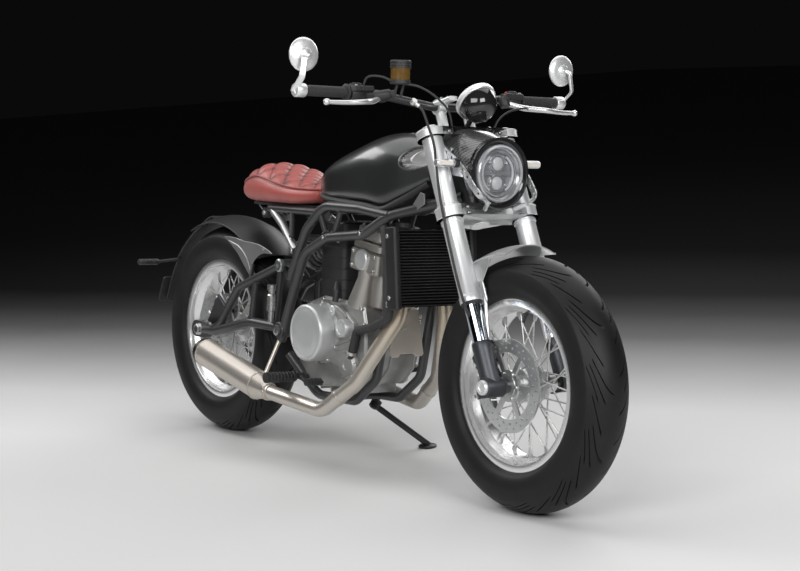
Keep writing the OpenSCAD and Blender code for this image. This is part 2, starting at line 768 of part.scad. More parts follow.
parked() headstock();
parked() frame_right();
parked() frame_left();
parked() cradle();
parked() seat_rails();
parked() swingarm_right();
parked() swingarm_left();
parked() rear_shock();
parked() crankcase();
parked() cylinder_head();
parked() engine_covers();
parked() radiator();
parked() coolant_hoses();
parked() exhaust_right();
parked() exhaust_left();
parked() tank();
parked() seat();
parked() rear_fender();
parked() tail_hanger();
parked() foot_controls_right();
parked() foot_controls_left();
parked() airbox();
parked() rear_axle();
parked() chain();
parked() rear_tyre();
parked() rear_rim();
parked() rear_spokes();
parked() rear_hub();
parked() fork_outers();
parked() fork_lowers();
parked() yokes();
parked() handlebar();
parked() bar_controls();
parked() mirrors();
parked() headlamp();
parked() nacelle();
parked() lamp_brackets();
parked() gauge();
parked() front_fender();
parked() front_axle();
parked() front_tyre();
parked() front_rim();
parked() front_spokes();
parked() front_hub();
parked() side_stand();
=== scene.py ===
import bpy
import bmesh
import math
import numpy as np
from mathutils import Matrix


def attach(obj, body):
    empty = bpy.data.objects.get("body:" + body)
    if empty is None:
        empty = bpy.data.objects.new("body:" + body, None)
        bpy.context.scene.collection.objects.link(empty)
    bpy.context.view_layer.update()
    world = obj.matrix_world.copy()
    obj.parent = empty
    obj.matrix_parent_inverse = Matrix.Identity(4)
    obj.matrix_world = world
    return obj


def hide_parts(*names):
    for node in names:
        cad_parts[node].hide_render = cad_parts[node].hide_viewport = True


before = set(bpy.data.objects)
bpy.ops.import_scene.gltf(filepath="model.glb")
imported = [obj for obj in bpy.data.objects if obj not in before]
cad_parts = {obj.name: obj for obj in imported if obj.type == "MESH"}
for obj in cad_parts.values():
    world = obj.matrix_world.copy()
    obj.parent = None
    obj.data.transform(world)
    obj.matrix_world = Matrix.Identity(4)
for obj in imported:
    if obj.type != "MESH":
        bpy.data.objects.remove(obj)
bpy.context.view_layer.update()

# ---- The studio ---------------------------------------------------------------------------
# The machine is parked on a pale floor under soft lamps and leans six degrees onto its side
# stand. All of its sizes below are millimetres of the upright machine: X forward from the rear
# axle, Y to the rider's left, Z up from the road.

LEAN = math.radians(6)
LEANED = np.array([
    [1, 0, 0],
    [0, math.cos(LEAN), math.sin(LEAN)],
    [0, -math.sin(LEAN), math.cos(LEAN)],
])
PARKED_AT = np.array([-0.673, -0.118, 0.00046])


def unit(v):
    """v over its own length, for one vector or for rows of them."""
    v = np.asarray(v, float)
    return v / np.linalg.norm(v, axis=-1, keepdims=True)


def parked(points):
    """Metres in the studio: the upright point over 1000, turned by the lean about X, moved."""
    return np.asarray(points, float) / 1000 @ LEANED.T + PARKED_AT


def look_from(place, yaw, pitch, roll, lens):
    """A camera whose axes are built from its heading, its tilt and its roll, then leaned."""
    ahead = np.array([
        math.cos(yaw) * math.cos(pitch), math.sin(yaw) * math.cos(pitch), math.sin(pitch)
    ])
    right = np.cross(ahead, [0, 0, 1])
    right /= np.linalg.norm(right)
    up = np.cross(right, ahead)
    across = right * math.cos(roll) + up * math.sin(roll)
    tall = up * math.cos(roll) - right * math.sin(roll)
    camera = bpy.data.objects.new("camera", bpy.data.cameras.new("camera"))
    bpy.context.collection.objects.link(camera)
    camera.data.lens = lens
    camera.data.sensor_width = 36
    turn = LEANED @ np.column_stack([across, tall, -ahead])
    camera.matrix_world = (
        Matrix.Translation(parked(place).tolist()) @ Matrix(turn.tolist()).to_4x4()
    )
    bpy.context.scene.camera = camera


look_from((4796.08, -2860.38, 906.06), 2.51092, -0.07806, 0.02948, 79.5)


def workbench(name):
    """A new material, and a function that adds its nodes: sockets are joined, values set."""
    material = bpy.data.materials.new(name)
    material.use_nodes = True
    tree = material.node_tree

    def add(kind, settings=None, **inputs):
        node = tree.nodes.new("ShaderNode" + kind)
        for key, value in (settings or {}).items():
            setattr(node, key, value)
        for key, value in inputs.items():
            socket = node.inputs[int(key[1:]) if key[0] == "i" and key[1:].isdigit() else key]
            if isinstance(value, bpy.types.NodeSocket):
                tree.links.new(value, socket)
            else:
                socket.default_value = value
        return node

    return material, add, tree.nodes["Principled BSDF"], tree.links.new


def ramp(add, factor, stops):
    """A ColorRamp over the factor, from (position, colour) stops."""
    node = add("ValToRGB", Fac=factor)
    line = node.color_ramp.elements
    while len(line) < len(stops):
        line.new(0.5)
    for mark, (at, colour) in zip(line, stops):
        mark.position = at
        mark.color = (*colour, 1)
    return node.outputs[0]


def floor_with_painted_light_pool():
    """A flat square, 60 m wide, of matt paint with a pool of light painted into its colour: pale
    by the machine, darker with the distance behind it, measured along one fixed direction of the floor."""
    material, add, shader, join = workbench("floor_painted_light_pool")
    place = add("TexCoord").outputs["Object"]
    spot = add("TexNoise", Vector=place, Scale=2.0, Detail=3.0).outputs[0]
    behind = add("VectorMath", {"operation": "DOT_PRODUCT"}, i0=place, i1=(-0.559, 0.929, 0))
    painted_falloff = add("MapRange", Value=behind.outputs["Value"], i1=-2.0, i2=8.0).outputs[0]
    mixed = add("Math", {"operation": "MULTIPLY_ADD"}, i0=spot, i1=0.015, i2=painted_falloff).outputs[0]
    # Painted light: the ramp paints the lamps' pool by the machine and its falloff into the dark behind it; only the
    # faint mottle is the floor's own tone.
    join(ramp(add, mixed, [
        (0.157, (0.66, 0.66, 0.655)), (0.213, (0.69, 0.69, 0.685)), (0.284, (0.60, 0.60, 0.595)),
        (0.357, (0.33, 0.33, 0.33)), (0.424, (0.12, 0.12, 0.12)), (0.48, (0.050, 0.050, 0.050)),
        (0.54, (0.018, 0.018, 0.018)), (0.64, (0.022, 0.022, 0.022)), (1.0, (0.036, 0.036, 0.036)),
    ]), shader.inputs["Base Color"])
    shader.inputs["Roughness"].default_value = 0.6
    shader.inputs["Specular IOR Level"].default_value = 0.1
    mesh = bpy.data.meshes.new("floor")
    mesh.from_pydata([(-30, -30, 0), (30, -30, 0), (30, 30, 0), (-30, 30, 0)], [], [(0, 1, 2, 3)])
    mesh.materials.append(material)
    floor = bpy.data.objects.new("floor", mesh)
    bpy.context.collection.objects.link(floor)


floor_with_painted_light_pool()


def studio_light():
    """Soft boxes over and beside the machine in a dark studio; a weak even fill."""
    for name, place, aim, size, power in (
        ("top_box", (-0.6, 0.2, 3.4), (-0.2, 0.0, 0.0), (6.0, 3.0), 92),
        ("key_box", (2.6, -3.6, 2.7), (0.3, 0.0, 0.6), (3.0, 1.8), 104),
        ("tail_box", (-3.3, -1.6, 3.0), (-0.3, 0.0, 0.4), (2.0, 1.4), 50),
        ("back_box", (-1.4, 3.4, 2.2), (0.1, 0.0, 0.8), (3.2, 1.2), 50),
        ("front_box", (4.7, -0.5, 2.4), (0.8, 0.0, 0.6), (2.2, 1.8), 112),
    ):
        lamp = bpy.data.lights.new(name, "AREA")
        lamp.shape = "RECTANGLE"
        lamp.size, lamp.size_y = size
        lamp.energy = power
        holder = bpy.data.objects.new(name, lamp)
        bpy.context.collection.objects.link(holder)
        way = unit(np.array(aim) - place)
        across = unit(np.cross(way, [0, 0, 1]))
        turn = np.column_stack([across, np.cross(across, way), -way])
        holder.matrix_world = Matrix.Translation(place) @ Matrix(turn.tolist()).to_4x4()
    world = bpy.data.worlds.new("studio")
    bpy.context.scene.world = world
    world.use_nodes = True
    tree = world.node_tree
    fill = tree.nodes["Background"]
    fill.inputs["Color"].default_value = (0.93, 0.95, 1, 1)
    fill.inputs["Strength"].default_value = 0.07
    shown = tree.nodes.new("ShaderNodeBackground")
    shown.inputs["Color"].default_value = (0.003, 0.003, 0.003, 1)
    ray = tree.nodes.new("ShaderNodeLightPath")
    kinds = ray.outputs["Is Camera Ray"]
    for other in ("Is Glossy Ray", "Is Transmission Ray"):
        either = tree.nodes.new("ShaderNodeMath")
        either.operation = "MAXIMUM"
        tree.links.new(kinds, either.inputs[0])
        tree.links.new(ray.outputs[other], either.inputs[1])
        kinds = either.outputs[0]
    mix = tree.nodes.new("ShaderNodeMixShader")
    tree.links.new(kinds, mix.inputs[0])
    tree.links.new(fill.outputs[0], mix.inputs[1])
    tree.links.new(shown.outputs[0], mix.inputs[2])
    tree.links.new(mix.outputs[0], tree.nodes["World Output"].inputs["Surface"])
    bpy.context.scene.view_settings.view_transform = "Standard"


studio_light()

# ---- Main frame ---------------------------------------------------------------------------
# Two side trusses of bent steel tube run from the steering head to the swingarm pivot, welded
# to a cradle below the engine and a seat loop, and powder coated in a satin gunmetal.

TUBE_R = 14
SIDE_HALF = 128
CRADLE_HALF = 75
PIVOT = np.array([473, 0, 367])
LOWER_RAIL = [
    [1180, -26, 782], [985, -124, 722], [880, -128, 668], [705, -128, 650], [588, -128, 598],
    [508, -124, 430], [473, -124, 337],
]
UPPER_RAIL = [[990, -122, 724], [860, -128, 737], [690, -128, 738], [598, -128, 668], [514, -124, 520]]
CRADLE_RAIL = [
    [960, -118, 704], [942, -92, 620], [926, -75, 452], [886, -75, 270], [790, -75, 198],
    [600, -75, 192], [500, -114, 300],
]


def rounded(points, bend):
    """A line whose inner corners are arcs of radius bend, tangent to both straights."""
    points = np.asarray(points, float)
    out = [points[:1]]
    way = unit(np.diff(points, axis=0))
    for k in range(1, len(points) - 1):
        a, b = way[k - 1], way[k]
        turn = math.acos(np.clip(a @ b, -1, 1))
        if turn < 0.02:
            out.append(points[k:k + 1])
            continue
        side = unit(b - a * (a @ b))
        room = 0.48 * min(
            np.linalg.norm(points[k] - points[k - 1]), np.linalg.norm(points[k + 1] - points[k])
        )
        r = min(bend, room / math.tan(turn / 2))
        centre = points[k] - a * r * math.tan(turn / 2) + side * r
        t = np.linspace(0, turn, max(3, int(turn / 0.09)))[:, None]
        out.append(centre + r * (a * np.sin(t) - side * np.cos(t)))
    out.append(points[-1:])
    return np.concatenate(out)


def skin(grid, around=True, closed=False, caps=True, finish=0):
    """Quads between the neighbours of grid[i, j]; j runs round a section, i along the piece."""
    grid = np.asarray(grid, float)
    n, m = grid.shape[:2]
    i = np.arange(n if closed else n - 1)[:, None]
    j = np.arange(m if around else m - 1)[None]
    i2, j2 = (i + 1) % n, (j + 1) % m
    quads = np.stack([i * m + j, i * m + j2, i2 * m + j2, i2 * m + j], -1).reshape(-1, 4).tolist()
    if caps and around and not closed:
        quads += [list(range(m)), list(range(n * m - m, n * m))]
    return grid.reshape(-1, 3), quads, finish


def carried(path, section, scale=None):
    """A closed flat section carried along a path: each copy is square to the path there, and
    its X axis is the last one's with the path's new direction taken out of it."""
    path = np.asarray(path, float)
    way = unit(np.gradient(path, axis=0))
    x = np.empty_like(path)
    first = [0, 1, 0] if abs(way[0, 1]) < 0.9 else [1, 0, 0]
    x[0] = unit(np.cross(first, way[0]))
    for k in range(1, len(path)):
        x[k] = unit(x[k - 1] - way[k] * (x[k - 1] @ way[k]))
    y = np.cross(way, x)
    size = np.ones(len(path)) if scale is None else np.asarray(scale, float)
    flat = np.asarray(section, float)
    return path[:, None] + size[:, None, None] * (
        flat[None, :, :1] * x[:, None] + flat[None, :, 1:] * y[:, None]
    )


def circle(r, sides=24):
    """Points at r(cos a, sin a) for equal steps of a."""
    a = np.arange(sides) * 2 * math.pi / sides
    return r * np.column_stack([np.cos(a), np.sin(a)])


def tube(points, r, bend=60, sides=20, finish=0):
    """A round tube: a circle of radius r carried along the rounded line of bends."""
    return skin(carried(rounded(points, bend), circle(r, sides)), finish=finish)


def flow(points, count):
    """A smooth line through the points: on each span the Catmull-Rom cubic of its four points."""
    p = np.asarray(points, float)
    p = np.vstack([2 * p[0] - p[1], p, 2 * p[-1] - p[-2]])
    t = np.linspace(0, len(p) - 3 - 1e-9, count)
    k = t.astype(int)
    f = (t - k)[:, None]
    a, b, c, d = p[k], p[k + 1], p[k + 2], p[k + 3]
    return 0.5 * (2 * b + (c - a) * f + (2 * a - 5 * b + 4 * c - d) * f**2
                  + (3 * b - a - 3 * c + d) * f**3)


def axes(direction):
    """Three square unit axes as rows, the last one along the direction."""
    z = unit(direction)
    x = unit(np.cross([0, 1, 0] if abs(z[1]) < 0.9 else [1, 0, 0], z))
    return np.array([x, np.cross(z, x), z])


def turned(profile, at, direction, sides=48, finish=0, ring=False):
    """A lathe shape: each (radius, height) of the profile swept round the axis. The profile of
    a ring is a closed loop; any other one ends in flat discs."""
    p = np.asarray(profile, float)
    a = np.arange(sides) * 2 * math.pi / sides
    x, y, z = axes(direction)
    grid = (np.asarray(at, float) + p[:, :1, None] * (
        np.cos(a)[None, :, None] * x + np.sin(a)[None, :, None] * y) + p[:, 1:, None] * z)
    return skin(grid, closed=ring, finish=finish)


def inward(outline, step):
    """The outline moved inwards by step along the mean normal of its two edges."""
    o = np.asarray(outline, float)
    edge = unit(np.roll(o, -1, 0) - o)
    normal = np.column_stack([-edge[:, 1], edge[:, 0]])
    area = np.sum(o[:, 0] * np.roll(o[:, 1], -1) - np.roll(o[:, 0], -1) * o[:, 1])
    mean = unit(normal + np.roll(normal, 1, 0)) * np.sign(area)
    return o + mean * step


def plate(outline, thick, at, x, y, edge=0.8, finish=0):
    """A flat plate: the outline in the plane of x and y, with its edges broken by a chamfer."""
    o = np.asarray(outline, float)
    x, y = unit(x), unit(y)
    z = np.cross(x, y)
    small = inward(o, edge)
    half = thick / 2
    rows = [(small, -half), (o, edge - half), (o, half - edge), (small, half)]
    grid = np.array([np.asarray(at, float) + f[:, :1] * x + f[:, 1:] * y + h * z for f, h in rows])
    return skin(grid, finish=finish)


def box_outline(w, h, r, steps=5):
    """A rectangle w by h with corners of radius r."""
    a = np.linspace(0, math.pi / 2, steps)
    corner = r * np.column_stack([np.cos(a), np.sin(a)])
    out = []
    for k, (sx, sy) in enumerate(((1, 1), (-1, 1), (-1, -1), (1, -1))):
        c, s = math.cos(k * math.pi / 2), math.sin(k * math.pi / 2)
        out.append(corner @ np.array([[c, s], [-s, c]]) + [sx * (w / 2 - r), sy * (h / 2 - r)])
    return np.concatenate(out)


def mirrored(parts):
    """The same parts, and each again with Y turned over."""
    return list(parts) + [(v * [1, -1, 1], f, k) for v, f, k in parts]


def left_of(parts):
    """The parts with Y turned over."""
    return [(v * [1, -1, 1], f, k) for v, f, k in parts]


def make(name, parts, finishes, body, node=(), crease=35, marks=None):
    """One object from its parts: doubles merged, faces turned outwards, edges over the crease
    angle kept sharp. It rides its body and stands for its CAD nodes."""
    verts, faces, kinds, start = [], [], [], 0
    for v, f, kind in parts:
        verts.append(v)
        faces += [[q + start for q in face] for face in f]
        kinds += [kind] * len(f)
        start += len(v)
    mesh = bpy.data.meshes.new(name)
    mesh.from_pydata(parked(np.concatenate(verts)).tolist(), [], faces)
    mesh.polygons.foreach_set("material_index", kinds)
    for key, values in (marks or {}).items():
        mark = mesh.attributes.new(key, "FLOAT", "POINT")
        mark.data.foreach_set("value", np.asarray(values, np.float32))
    work = bmesh.new()
    work.from_mesh(mesh)
    bmesh.ops.remove_doubles(work, verts=work.verts, dist=2e-6)
    bmesh.ops.dissolve_degenerate(work, edges=work.edges, dist=1e-6)
    bmesh.ops.recalc_face_normals(work, faces=work.faces)
    work.to_mesh(mesh)
    work.free()
    mesh.polygons.foreach_set("use_smooth", [True] * len(mesh.polygons))
    mesh.set_sharp_from_angle(angle=math.radians(crease))
    for material in finishes if isinstance(finishes, (list, tuple)) else [finishes]:
        mesh.materials.append(material)
    piece = bpy.data.objects.new(name, mesh)
    bpy.context.collection.objects.link(piece)
    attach(piece, body)
    if node:
        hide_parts(*([node] if isinstance(node, str) else node))
    return piece


def dress(material, *nodes):
    """Gives CAD nodes a finish through their own material slots."""
    for node in nodes:
        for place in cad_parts[node].material_slots:
            place.material = material


def finish(name, colours, metal, rough, grain=60, bump=0.0, coat=0.0, stretch=(1, 1, 1)):
    """A worked surface: a large noise drifts its colour, a fine noise its roughness and relief.
    rough is (smoothest, roughest), bump the relief in metres, stretch draws the grain out."""
    material, add, shader, join = workbench(name)
    place = add("TexCoord").outputs["Object"]
    drawn = add("Mapping", Vector=place, Scale=stretch).outputs[0]
    cloud = add("TexNoise", Vector=place, Scale=9.0, Detail=4.0).outputs[0]
    fine = add("TexNoise", Vector=drawn, Scale=float(grain), Detail=6.0, Roughness=0.6).outputs[0]
    steps = np.linspace(0.32, 0.68, len(colours)).tolist()
    join(ramp(add, cloud, list(zip(steps, colours))), shader.inputs["Base Color"])
    worn = add("MapRange", Value=fine, i1=0.3, i2=0.7, i3=rough[0], i4=rough[1])
    join(worn.outputs[0], shader.inputs["Roughness"])
    shader.inputs["Metallic"].default_value = metal
    shader.inputs["Coat Weight"].default_value = coat
    shader.inputs["Coat Roughness"].default_value = 0.04
    if bump:
        relief = add("Bump", Height=fine, Strength=0.8, Distance=bump)
        join(relief.outputs[0], shader.inputs["Normal"])
    return material


FRAME_PAINT = finish("frame_powder_coat", [(0.060, 0.061, 0.063), (0.078, 0.079, 0.081)],
                     0.55, (0.30, 0.40), 900, 0.00003)
BRIGHT_BOLT = finish("zinc_bolt", [(0.62, 0.62, 0.61), (0.72, 0.72, 0.71)], 1, (0.22, 0.36), 300)
SHEET_ALLOY = finish("satin_sheet", [(0.38, 0.38, 0.375), (0.46, 0.46, 0.455)], 0.8, (0.34, 0.42), 200,
                     0.00002, stretch=(1, 20, 1))
BLACK_BOLT = finish("black_bolt", [(0.03, 0.03, 0.032), (0.045, 0.045, 0.047)], 0.6, (0.3, 0.45), 300)


def bolt(at, direction, r=6, h=5, finish=0):
    """A socket cap screw: a domed head with a six-sided hole in its face."""
    head = turned([(0, -1), (r, -1), (r, h - 1), (r - 0.9, h), (r * 0.55, h)], at, direction, 16, finish)
    hole = turned([(r * 0.55, h), (r * 0.5, h * 0.45), (0, h * 0.45)], at, direction, 6, finish)
    head = (head[0], [f for f in head[1] if len(f) < 16], finish)
    return [head, (hole[0], [f for f in hole[1] if len(f) == 4], finish)]


def weld(at, direction, r, finish=0):
    """A weld bead: a torus of radius r whose thickness ripples 22 times round."""
    a = np.arange(66) * 2 * math.pi / 66
    b = np.arange(8) * 2 * math.pi / 8
    x, y, z = axes(direction)
    thick = 2.6 + 0.7 * np.cos(22 * a)[:, None]
    out = r + thick * np.cos(b)
    grid = (np.asarray(at, float) + out[..., None] * (
        np.cos(a)[:, None, None] * x + np.sin(a)[:, None, None] * y)
        + (thick * np.sin(b))[..., None] * z)
    return skin(grid, closed=True, finish=finish)


def side_truss():
    """Both rails of the right truss, the two braces between them, and the pivot boss."""
    parts = [tube(LOWER_RAIL, TUBE_R, 90, 28), tube(UPPER_RAIL, TUBE_R, 90, 28)]
    for top, low in ((655, 700), (770, 735)):
        a, b = np.array([top, -SIDE_HALF, 733.0]), np.array([low, -SIDE_HALF, 655.0])
        parts += [tube([a, b], TUBE_R * 0.6), weld(a + unit(b - a) * 8, b - a, 9),
                  weld(b - unit(b - a) * 8, b - a, 9)]
    parts.append(turned([(9.2, 0), (22, 0), (24, 2), (24, 26), (22, 28), (9.2, 28)],
                        PIVOT + [0, -138, 0], [0, 1, 0]))
    parts += bolt([706, -143, 650], [0, -1, 0], 6, 5, 1) + bolt([884, -143, 672], [0, -1, 0], 6, 5, 1)
    return parts


make("truss_right", side_truss(), [FRAME_PAINT, BRIGHT_BOLT], "frame", "frame_right")
make("truss_left", left_of(side_truss()), [FRAME_PAINT, BRIGHT_BOLT], "frame", "frame_left")

WHEELBASE = 1440
AXLE_Z = 323
RAKE = math.radians(24.5)
FORK_X = np.array([math.cos(RAKE), 0, math.sin(RAKE)])
FORK_Z = np.array([-math.sin(RAKE), 0, math.cos(RAKE)])


def on_fork(points):
    """Upright place of points given in the fork's frame: front axle at 0, Z up its legs."""
    p = np.asarray(points, float)
    return np.array([WHEELBASE, 0, AXLE_Z]) + p @ np.array([FORK_X, [0, 1, 0], FORK_Z])


def steering_head():
    """Head tube, the two gusset plates behind it and the backbone under the tank."""
    low, high = on_fork([-38, 0, 483]), on_fork([-38, 0, 656])
    parts = [turned([(15.1, 0), (31, 0), (33, 2), (33, 14), (29.5, 18), (29.5, 155), (33, 159),
                     (33, 171), (31, 173), (15.1, 173)], low, high - low)]
    gusset = [[1196, 766], [1130, 900], [1100, 880], [1050, 790], [1090, 750]]
    for side in (-1, 1):
        parts.append(plate(gusset, 6, [0, side * 25, 0], [1, 0, 0], [0, 0, 1]))
    parts.append(tube([[1155, 0, 800], [980, 0, 738], [640, 0, 744]], 15, 90, 28))
    cheek = [[938, 738], [1040, 742], [1086, 790], [1104, 786], [1106, 760], [1070, 742], [1000, 722]]
    for side in (-1, 1):
        parts.append(plate(cheek, 4, [0, side * 93, 0], [1, 0, 0], [0, 0, 1], 0.8, 1))
        parts.append(tube([[1086, side * 28, 768], [1086, side * 93, 764]], 7, 10, 20, 1))
    return parts


make("steering_head", steering_head(), [FRAME_PAINT, SHEET_ALLOY], "frame", "headstock")


def engine_cradle():
    """Down tubes that bend under the engine, their cross tube, and the side stand's lug."""
    parts = mirrored([tube(CRADLE_RAIL, TUBE_R - 1, 50, 28)])
    parts.append(tube([[700, -75, 195], [700, 75, 195]], 10))
    foot = np.array([690, 258, (258 * math.sin(LEAN) - 0.46 + 9) / math.cos(LEAN)])
    pivot = np.array([650, 88, 158])
    axis = unit(np.cross(foot - pivot, [-1, 0.056, -0.028]))
    parts.append(turned([(0, 8.4), (14, 8.4), (16, 10), (16, 16), (14, 17.4), (0, 17.4)], pivot, axis))
    parts.append(turned([(0, -10), (6, -10), (6, 10), (0, 10)], pivot, axis, 24))
    parts += [turned([(0, -11.4), (8, -11.4), (10, -10.4), (10, -8.4), (0, -8.4)], pivot, axis, 24)]
    parts.append(tube([pivot + axis * 21, [650, 75, 193]], 11))
    return parts


make("engine_cradle", engine_cradle(), FRAME_PAINT, "frame", "cradle")


def seat_frame():
    """The seat loop, bright struts down to the truss, the pan and the wedge under the tail."""
    loop = [[626, -112, 716], [560, -104, 716], [330, -84, 714], [262, -40, 716], [256, 0, 716]]
    parts = mirrored([tube(loop, 11, 30, 24), tube([[352, -86, 708], [420, -96, 672], [528, -118, 602]], 12, 60, 24, 2),
                      tube([[470, -96, 716], [505, -118, 640]], 8)])
    parts.append(plate(box_outline(375, 168, 30), 8, [402, 0, 728], [1, 0, 0], [0, 1, 0], 1))
    wedge = [[-62, -46], [60, -58], [60, 58], [-62, 46]]
    parts.append(plate(wedge, 6, [206, 0, 726], [0.86, 0, -0.5], [0, 1, 0], 1.2, 2))
    parts += mirrored([turned([(0, -10), (15, -10), (16, -8), (16, 8), (15, 10), (0, 10)], [300, -76, 700],
                              [0, 1, 0], 32), *bolt([300, -86, 700], [0, -1, 0], 7, 4, 1),
                       turned([(0, -6), (17, -6), (18, -4), (18, 4), (0, 4)], [404, -72, 698], [0, 1, 0], 32, 2)])
    parts += mirrored(bolt([528, -131, 602], [0, -1, 0], 8, 6, 1))
    return parts


make("seat_frame", seat_frame(), [FRAME_PAINT, BRIGHT_BOLT, SHEET_ALLOY], "frame", "seat_rails")

# ---- Swingarm and shock -------------------------------------------------------------------
# A welded tube swingarm turns on a through bolt. Each side is a lower arm, an arched upper
# arm and two struts between them, ending in an axle block. One coil spring shock works lying
# between the arch and the truss, out of sight.

ARM_HALF = 118


def arm_side():
    """Lower arm, arched upper arm, two struts, the axle block and the pivot end."""
    lower = [[473, -94, 367], [285, -114, 372], [90, -118, 326], [20, -118, 323]]
    upper = [[436, -98, 556], [215, -118, 470], [112, -118, 348], [60, -118, 326]]
    parts = [tube(lower, 15, 120, 28), tube(upper, 13, 60, 28),
             tube([[400, -102, 369], [425, -99, 552]], 11), tube([[285, -114, 372], [300, -110, 504]], 9),
             weld([401, -102, 384], [25, 3, 183], 11.5), weld([286, -114, 386], [15, 4, 132], 9.5),
             weld([299, -110, 493], [15, 4, 132], 9.5)]
    a = np.linspace(-90, 90, 13) * math.pi / 180
    end = np.column_stack([26 + 26 * np.cos(a), 26 * np.sin(a)])
    parts.append(plate(np.concatenate([end, -end]), 18, [0, -118, 323], [1, 0, 0], [0, 0, 1], 1.5))
    parts.append(turned([(9.2, 0), (20, 0), (21, 1.5), (21, 28.6), (9.2, 28.6)], [473, -109.6, 367], [0, 1, 0]))
    parts.append(plate(box_outline(34, 12, 3), 5, [26, -129, 323], [1, 0, 0], [0, 0, 1], 0.8, 1))
    parts += bolt([44, -118, 342], [1, 0, 0.2], 5, 8, 1)
    return parts


make("swingarm_right_side", arm_side(), [FRAME_PAINT, BRIGHT_BOLT], "frame", "swingarm_right")
make("swingarm_left_side", left_of(arm_side()), [FRAME_PAINT, BRIGHT_BOLT], "frame", "swingarm_left")

SHOCK_ALLOY = finish("shock_alloy", [(0.30, 0.31, 0.32), (0.36, 0.37, 0.38)], 0.9, (0.25, 0.38), 200)
SPRING_PAINT = finish("spring_paint", [(0.10, 0.10, 0.105), (0.14, 0.14, 0.145)], 0.4, (0.3, 0.4), 200)


def coil_shock():
    """Pivot bolt with its spacer, shock body, and a spring: a circle carried up a helix."""
    parts = [turned([(0, -80), (17, -80), (17, 80), (0, 80)], PIVOT, [0, 1, 0]),
             turned([(0, -142), (9, -142), (9, 142), (0, 142)], PIVOT, [0, 1, 0], 24)]
    for s in (-1, 1):
        parts.append(turned([(0, 0), (13, 0), (15, 1.5), (15, 7), (13, 8), (7, 8), (6, 4), (0, 4)],
                            PIVOT + [0, s * 138, 0], [0, s, 0], 32))
    foot, top = np.array([430, 0, 558.0]), np.array([585, 0, 640.0])
    way = top - foot
    parts += [tube([[430, -100, 558], [430, 100, 558]], 12), tube([[585, -128, 640], [585, 128, 640]], 11)]
    parts.append(turned([(0, 0), (24, 4), (26, 12), (26, 60), (20, 62), (20, 150), (26, 152), (26, 168), (0, 170)],
                        foot, way))
    t = np.linspace(0, 6.5, 240)
    x, y, z = axes(way)
    line = (foot + np.outer(12 + 20.5 * t, z) + 30 * (
        np.outer(np.cos(2 * math.pi * t), x) + np.outer(np.sin(2 * math.pi * t), y)))
    parts.append(skin(carried(line, circle(4.5, 10)), finish=1))
    for s in (-1, 1):
        parts.append(turned([(0, 0), (17, 0), (19, 2), (19, 10), (15, 13), (8, 13), (7, 9), (0, 9)], [484, s * 138, 556],
                            [0, s, 0], 40))
    return parts


make("coil_shock", coil_shock(), [SHOCK_ALLOY, SPRING_PAINT], "frame", "rear_shock")

# ---- Engine -------------------------------------------------------------------------------
# A single cylinder engine: two sand cast aluminium case halves, a leaning water cooled
# cylinder and head, and a bright turned clutch cover, all held by zinc plated cap screws.

CASE_ALLOY = finish("cast_case_alloy", [(0.36, 0.36, 0.355), (0.44, 0.44, 0.43), (0.40, 0.40, 0.39)],
                    0.7, (0.36, 0.52), 420, 0.00018)
HEAD_ALLOY = finish("cast_head_alloy", [(0.43, 0.41, 0.385), (0.50, 0.48, 0.45)],
                    0.85, (0.34, 0.50), 380, 0.0002)
COVER_ALLOY = finish("turned_cover_alloy", [(0.56, 0.57, 0.57), (0.62, 0.63, 0.63)], 0.6, (0.38, 0.46), 260)
SHIELD_ALLOY = finish("sand_cast_shield", [(0.62, 0.57, 0.50), (0.70, 0.65, 0.58)], 0.4, (0.42, 0.56), 300)
CAST = [CASE_ALLOY, BRIGHT_BOLT, COVER_ALLOY, BLACK_BOLT, SHIELD_ALLOY]

CASE_OUTLINE = [
    [512, 300], [520, 400], [560, 452], [640, 478], [835, 470], [850, 420], [852, 330],
    [838, 290], [790, 242], [640, 225], [545, 240],
]


def side_plate(outline, thick, y, edge=2, finish=0):
    """A plate that stands in the X-Z plane with its middle at y."""
    return plate(outline, thick, [0, y, 0], [1, 0, 0], [0, 0, 1], edge, finish)


def case_halves():
    """The rounded case outline as a slab with a parting flange, ribs, bosses and screws."""
    o = np.array([[x, 0, z] for x, z in CASE_OUTLINE + CASE_OUTLINE[:2]], float)
    arc = rounded(o, 16)[:, [0, 2]]
    cut = len(rounded(o[:2], 16))
    closed = arc[cut:] if cut else arc
    closed = closed[1:-1]
    parts = [side_plate(closed, 186, 0, 4)]
    rim = inward(closed, -5)
    parts.append(side_plate(rim, 10, 0, 1.5))
    for s in (-1, 1):
        parts.append(side_plate(inward(closed, -3), 9, s * 84, 2))
        marks = inward(closed, 6)[::4]
        for x, z in marks:
            parts += bolt([x, s * 92, z], [0, s, 0], 6, 6, 1)
    for k in range(5):
        x = 560 + 52 * k
        parts.append(plate(box_outline(6, 40, 2), 150, [x, 0, 228 + 3 * abs(k - 2)], [1, 0, 0], [0, 0, 1], 1))
    guard = np.array([math.cos(math.radians(76)), 0, -math.sin(math.radians(76))])
    tall = np.array([math.sin(math.radians(76)), 0, math.cos(math.radians(76))])
    shield = [[-60, -56], [-40, -56], [-34, -50], [34, -50], [40, -56], [60, -56], [66, -50], [66, -30],
              [58, -22], [58, 22], [66, 30], [66, 50], [60, 56], [-60, 56], [-66, 50], [-66, 30],
              [-58, 22], [-58, -22], [-66, -30], [-66, -50]]
    parts.append(plate(np.array(shield)[:, ::-1], 5, [905, 0, 398], [0, 1, 0], guard, 1, 4))
    parts.append(turned([(0, 0), (14, 0), (14, 66), (0, 66)], [840, 0, 400], [65, 0, -2]))
    for y, up in ((-44, 46), (44, 46), (-44, -46), (44, -46)):
        parts += bolt(np.array([907.5, y, 398]) + np.array([0.24, 0, 0.97]) * up, [0.97, 0, -0.24], 5, 3, 1)
    return parts


make("crankcase_halves", case_halves(), CAST, "frame", "crankcase")


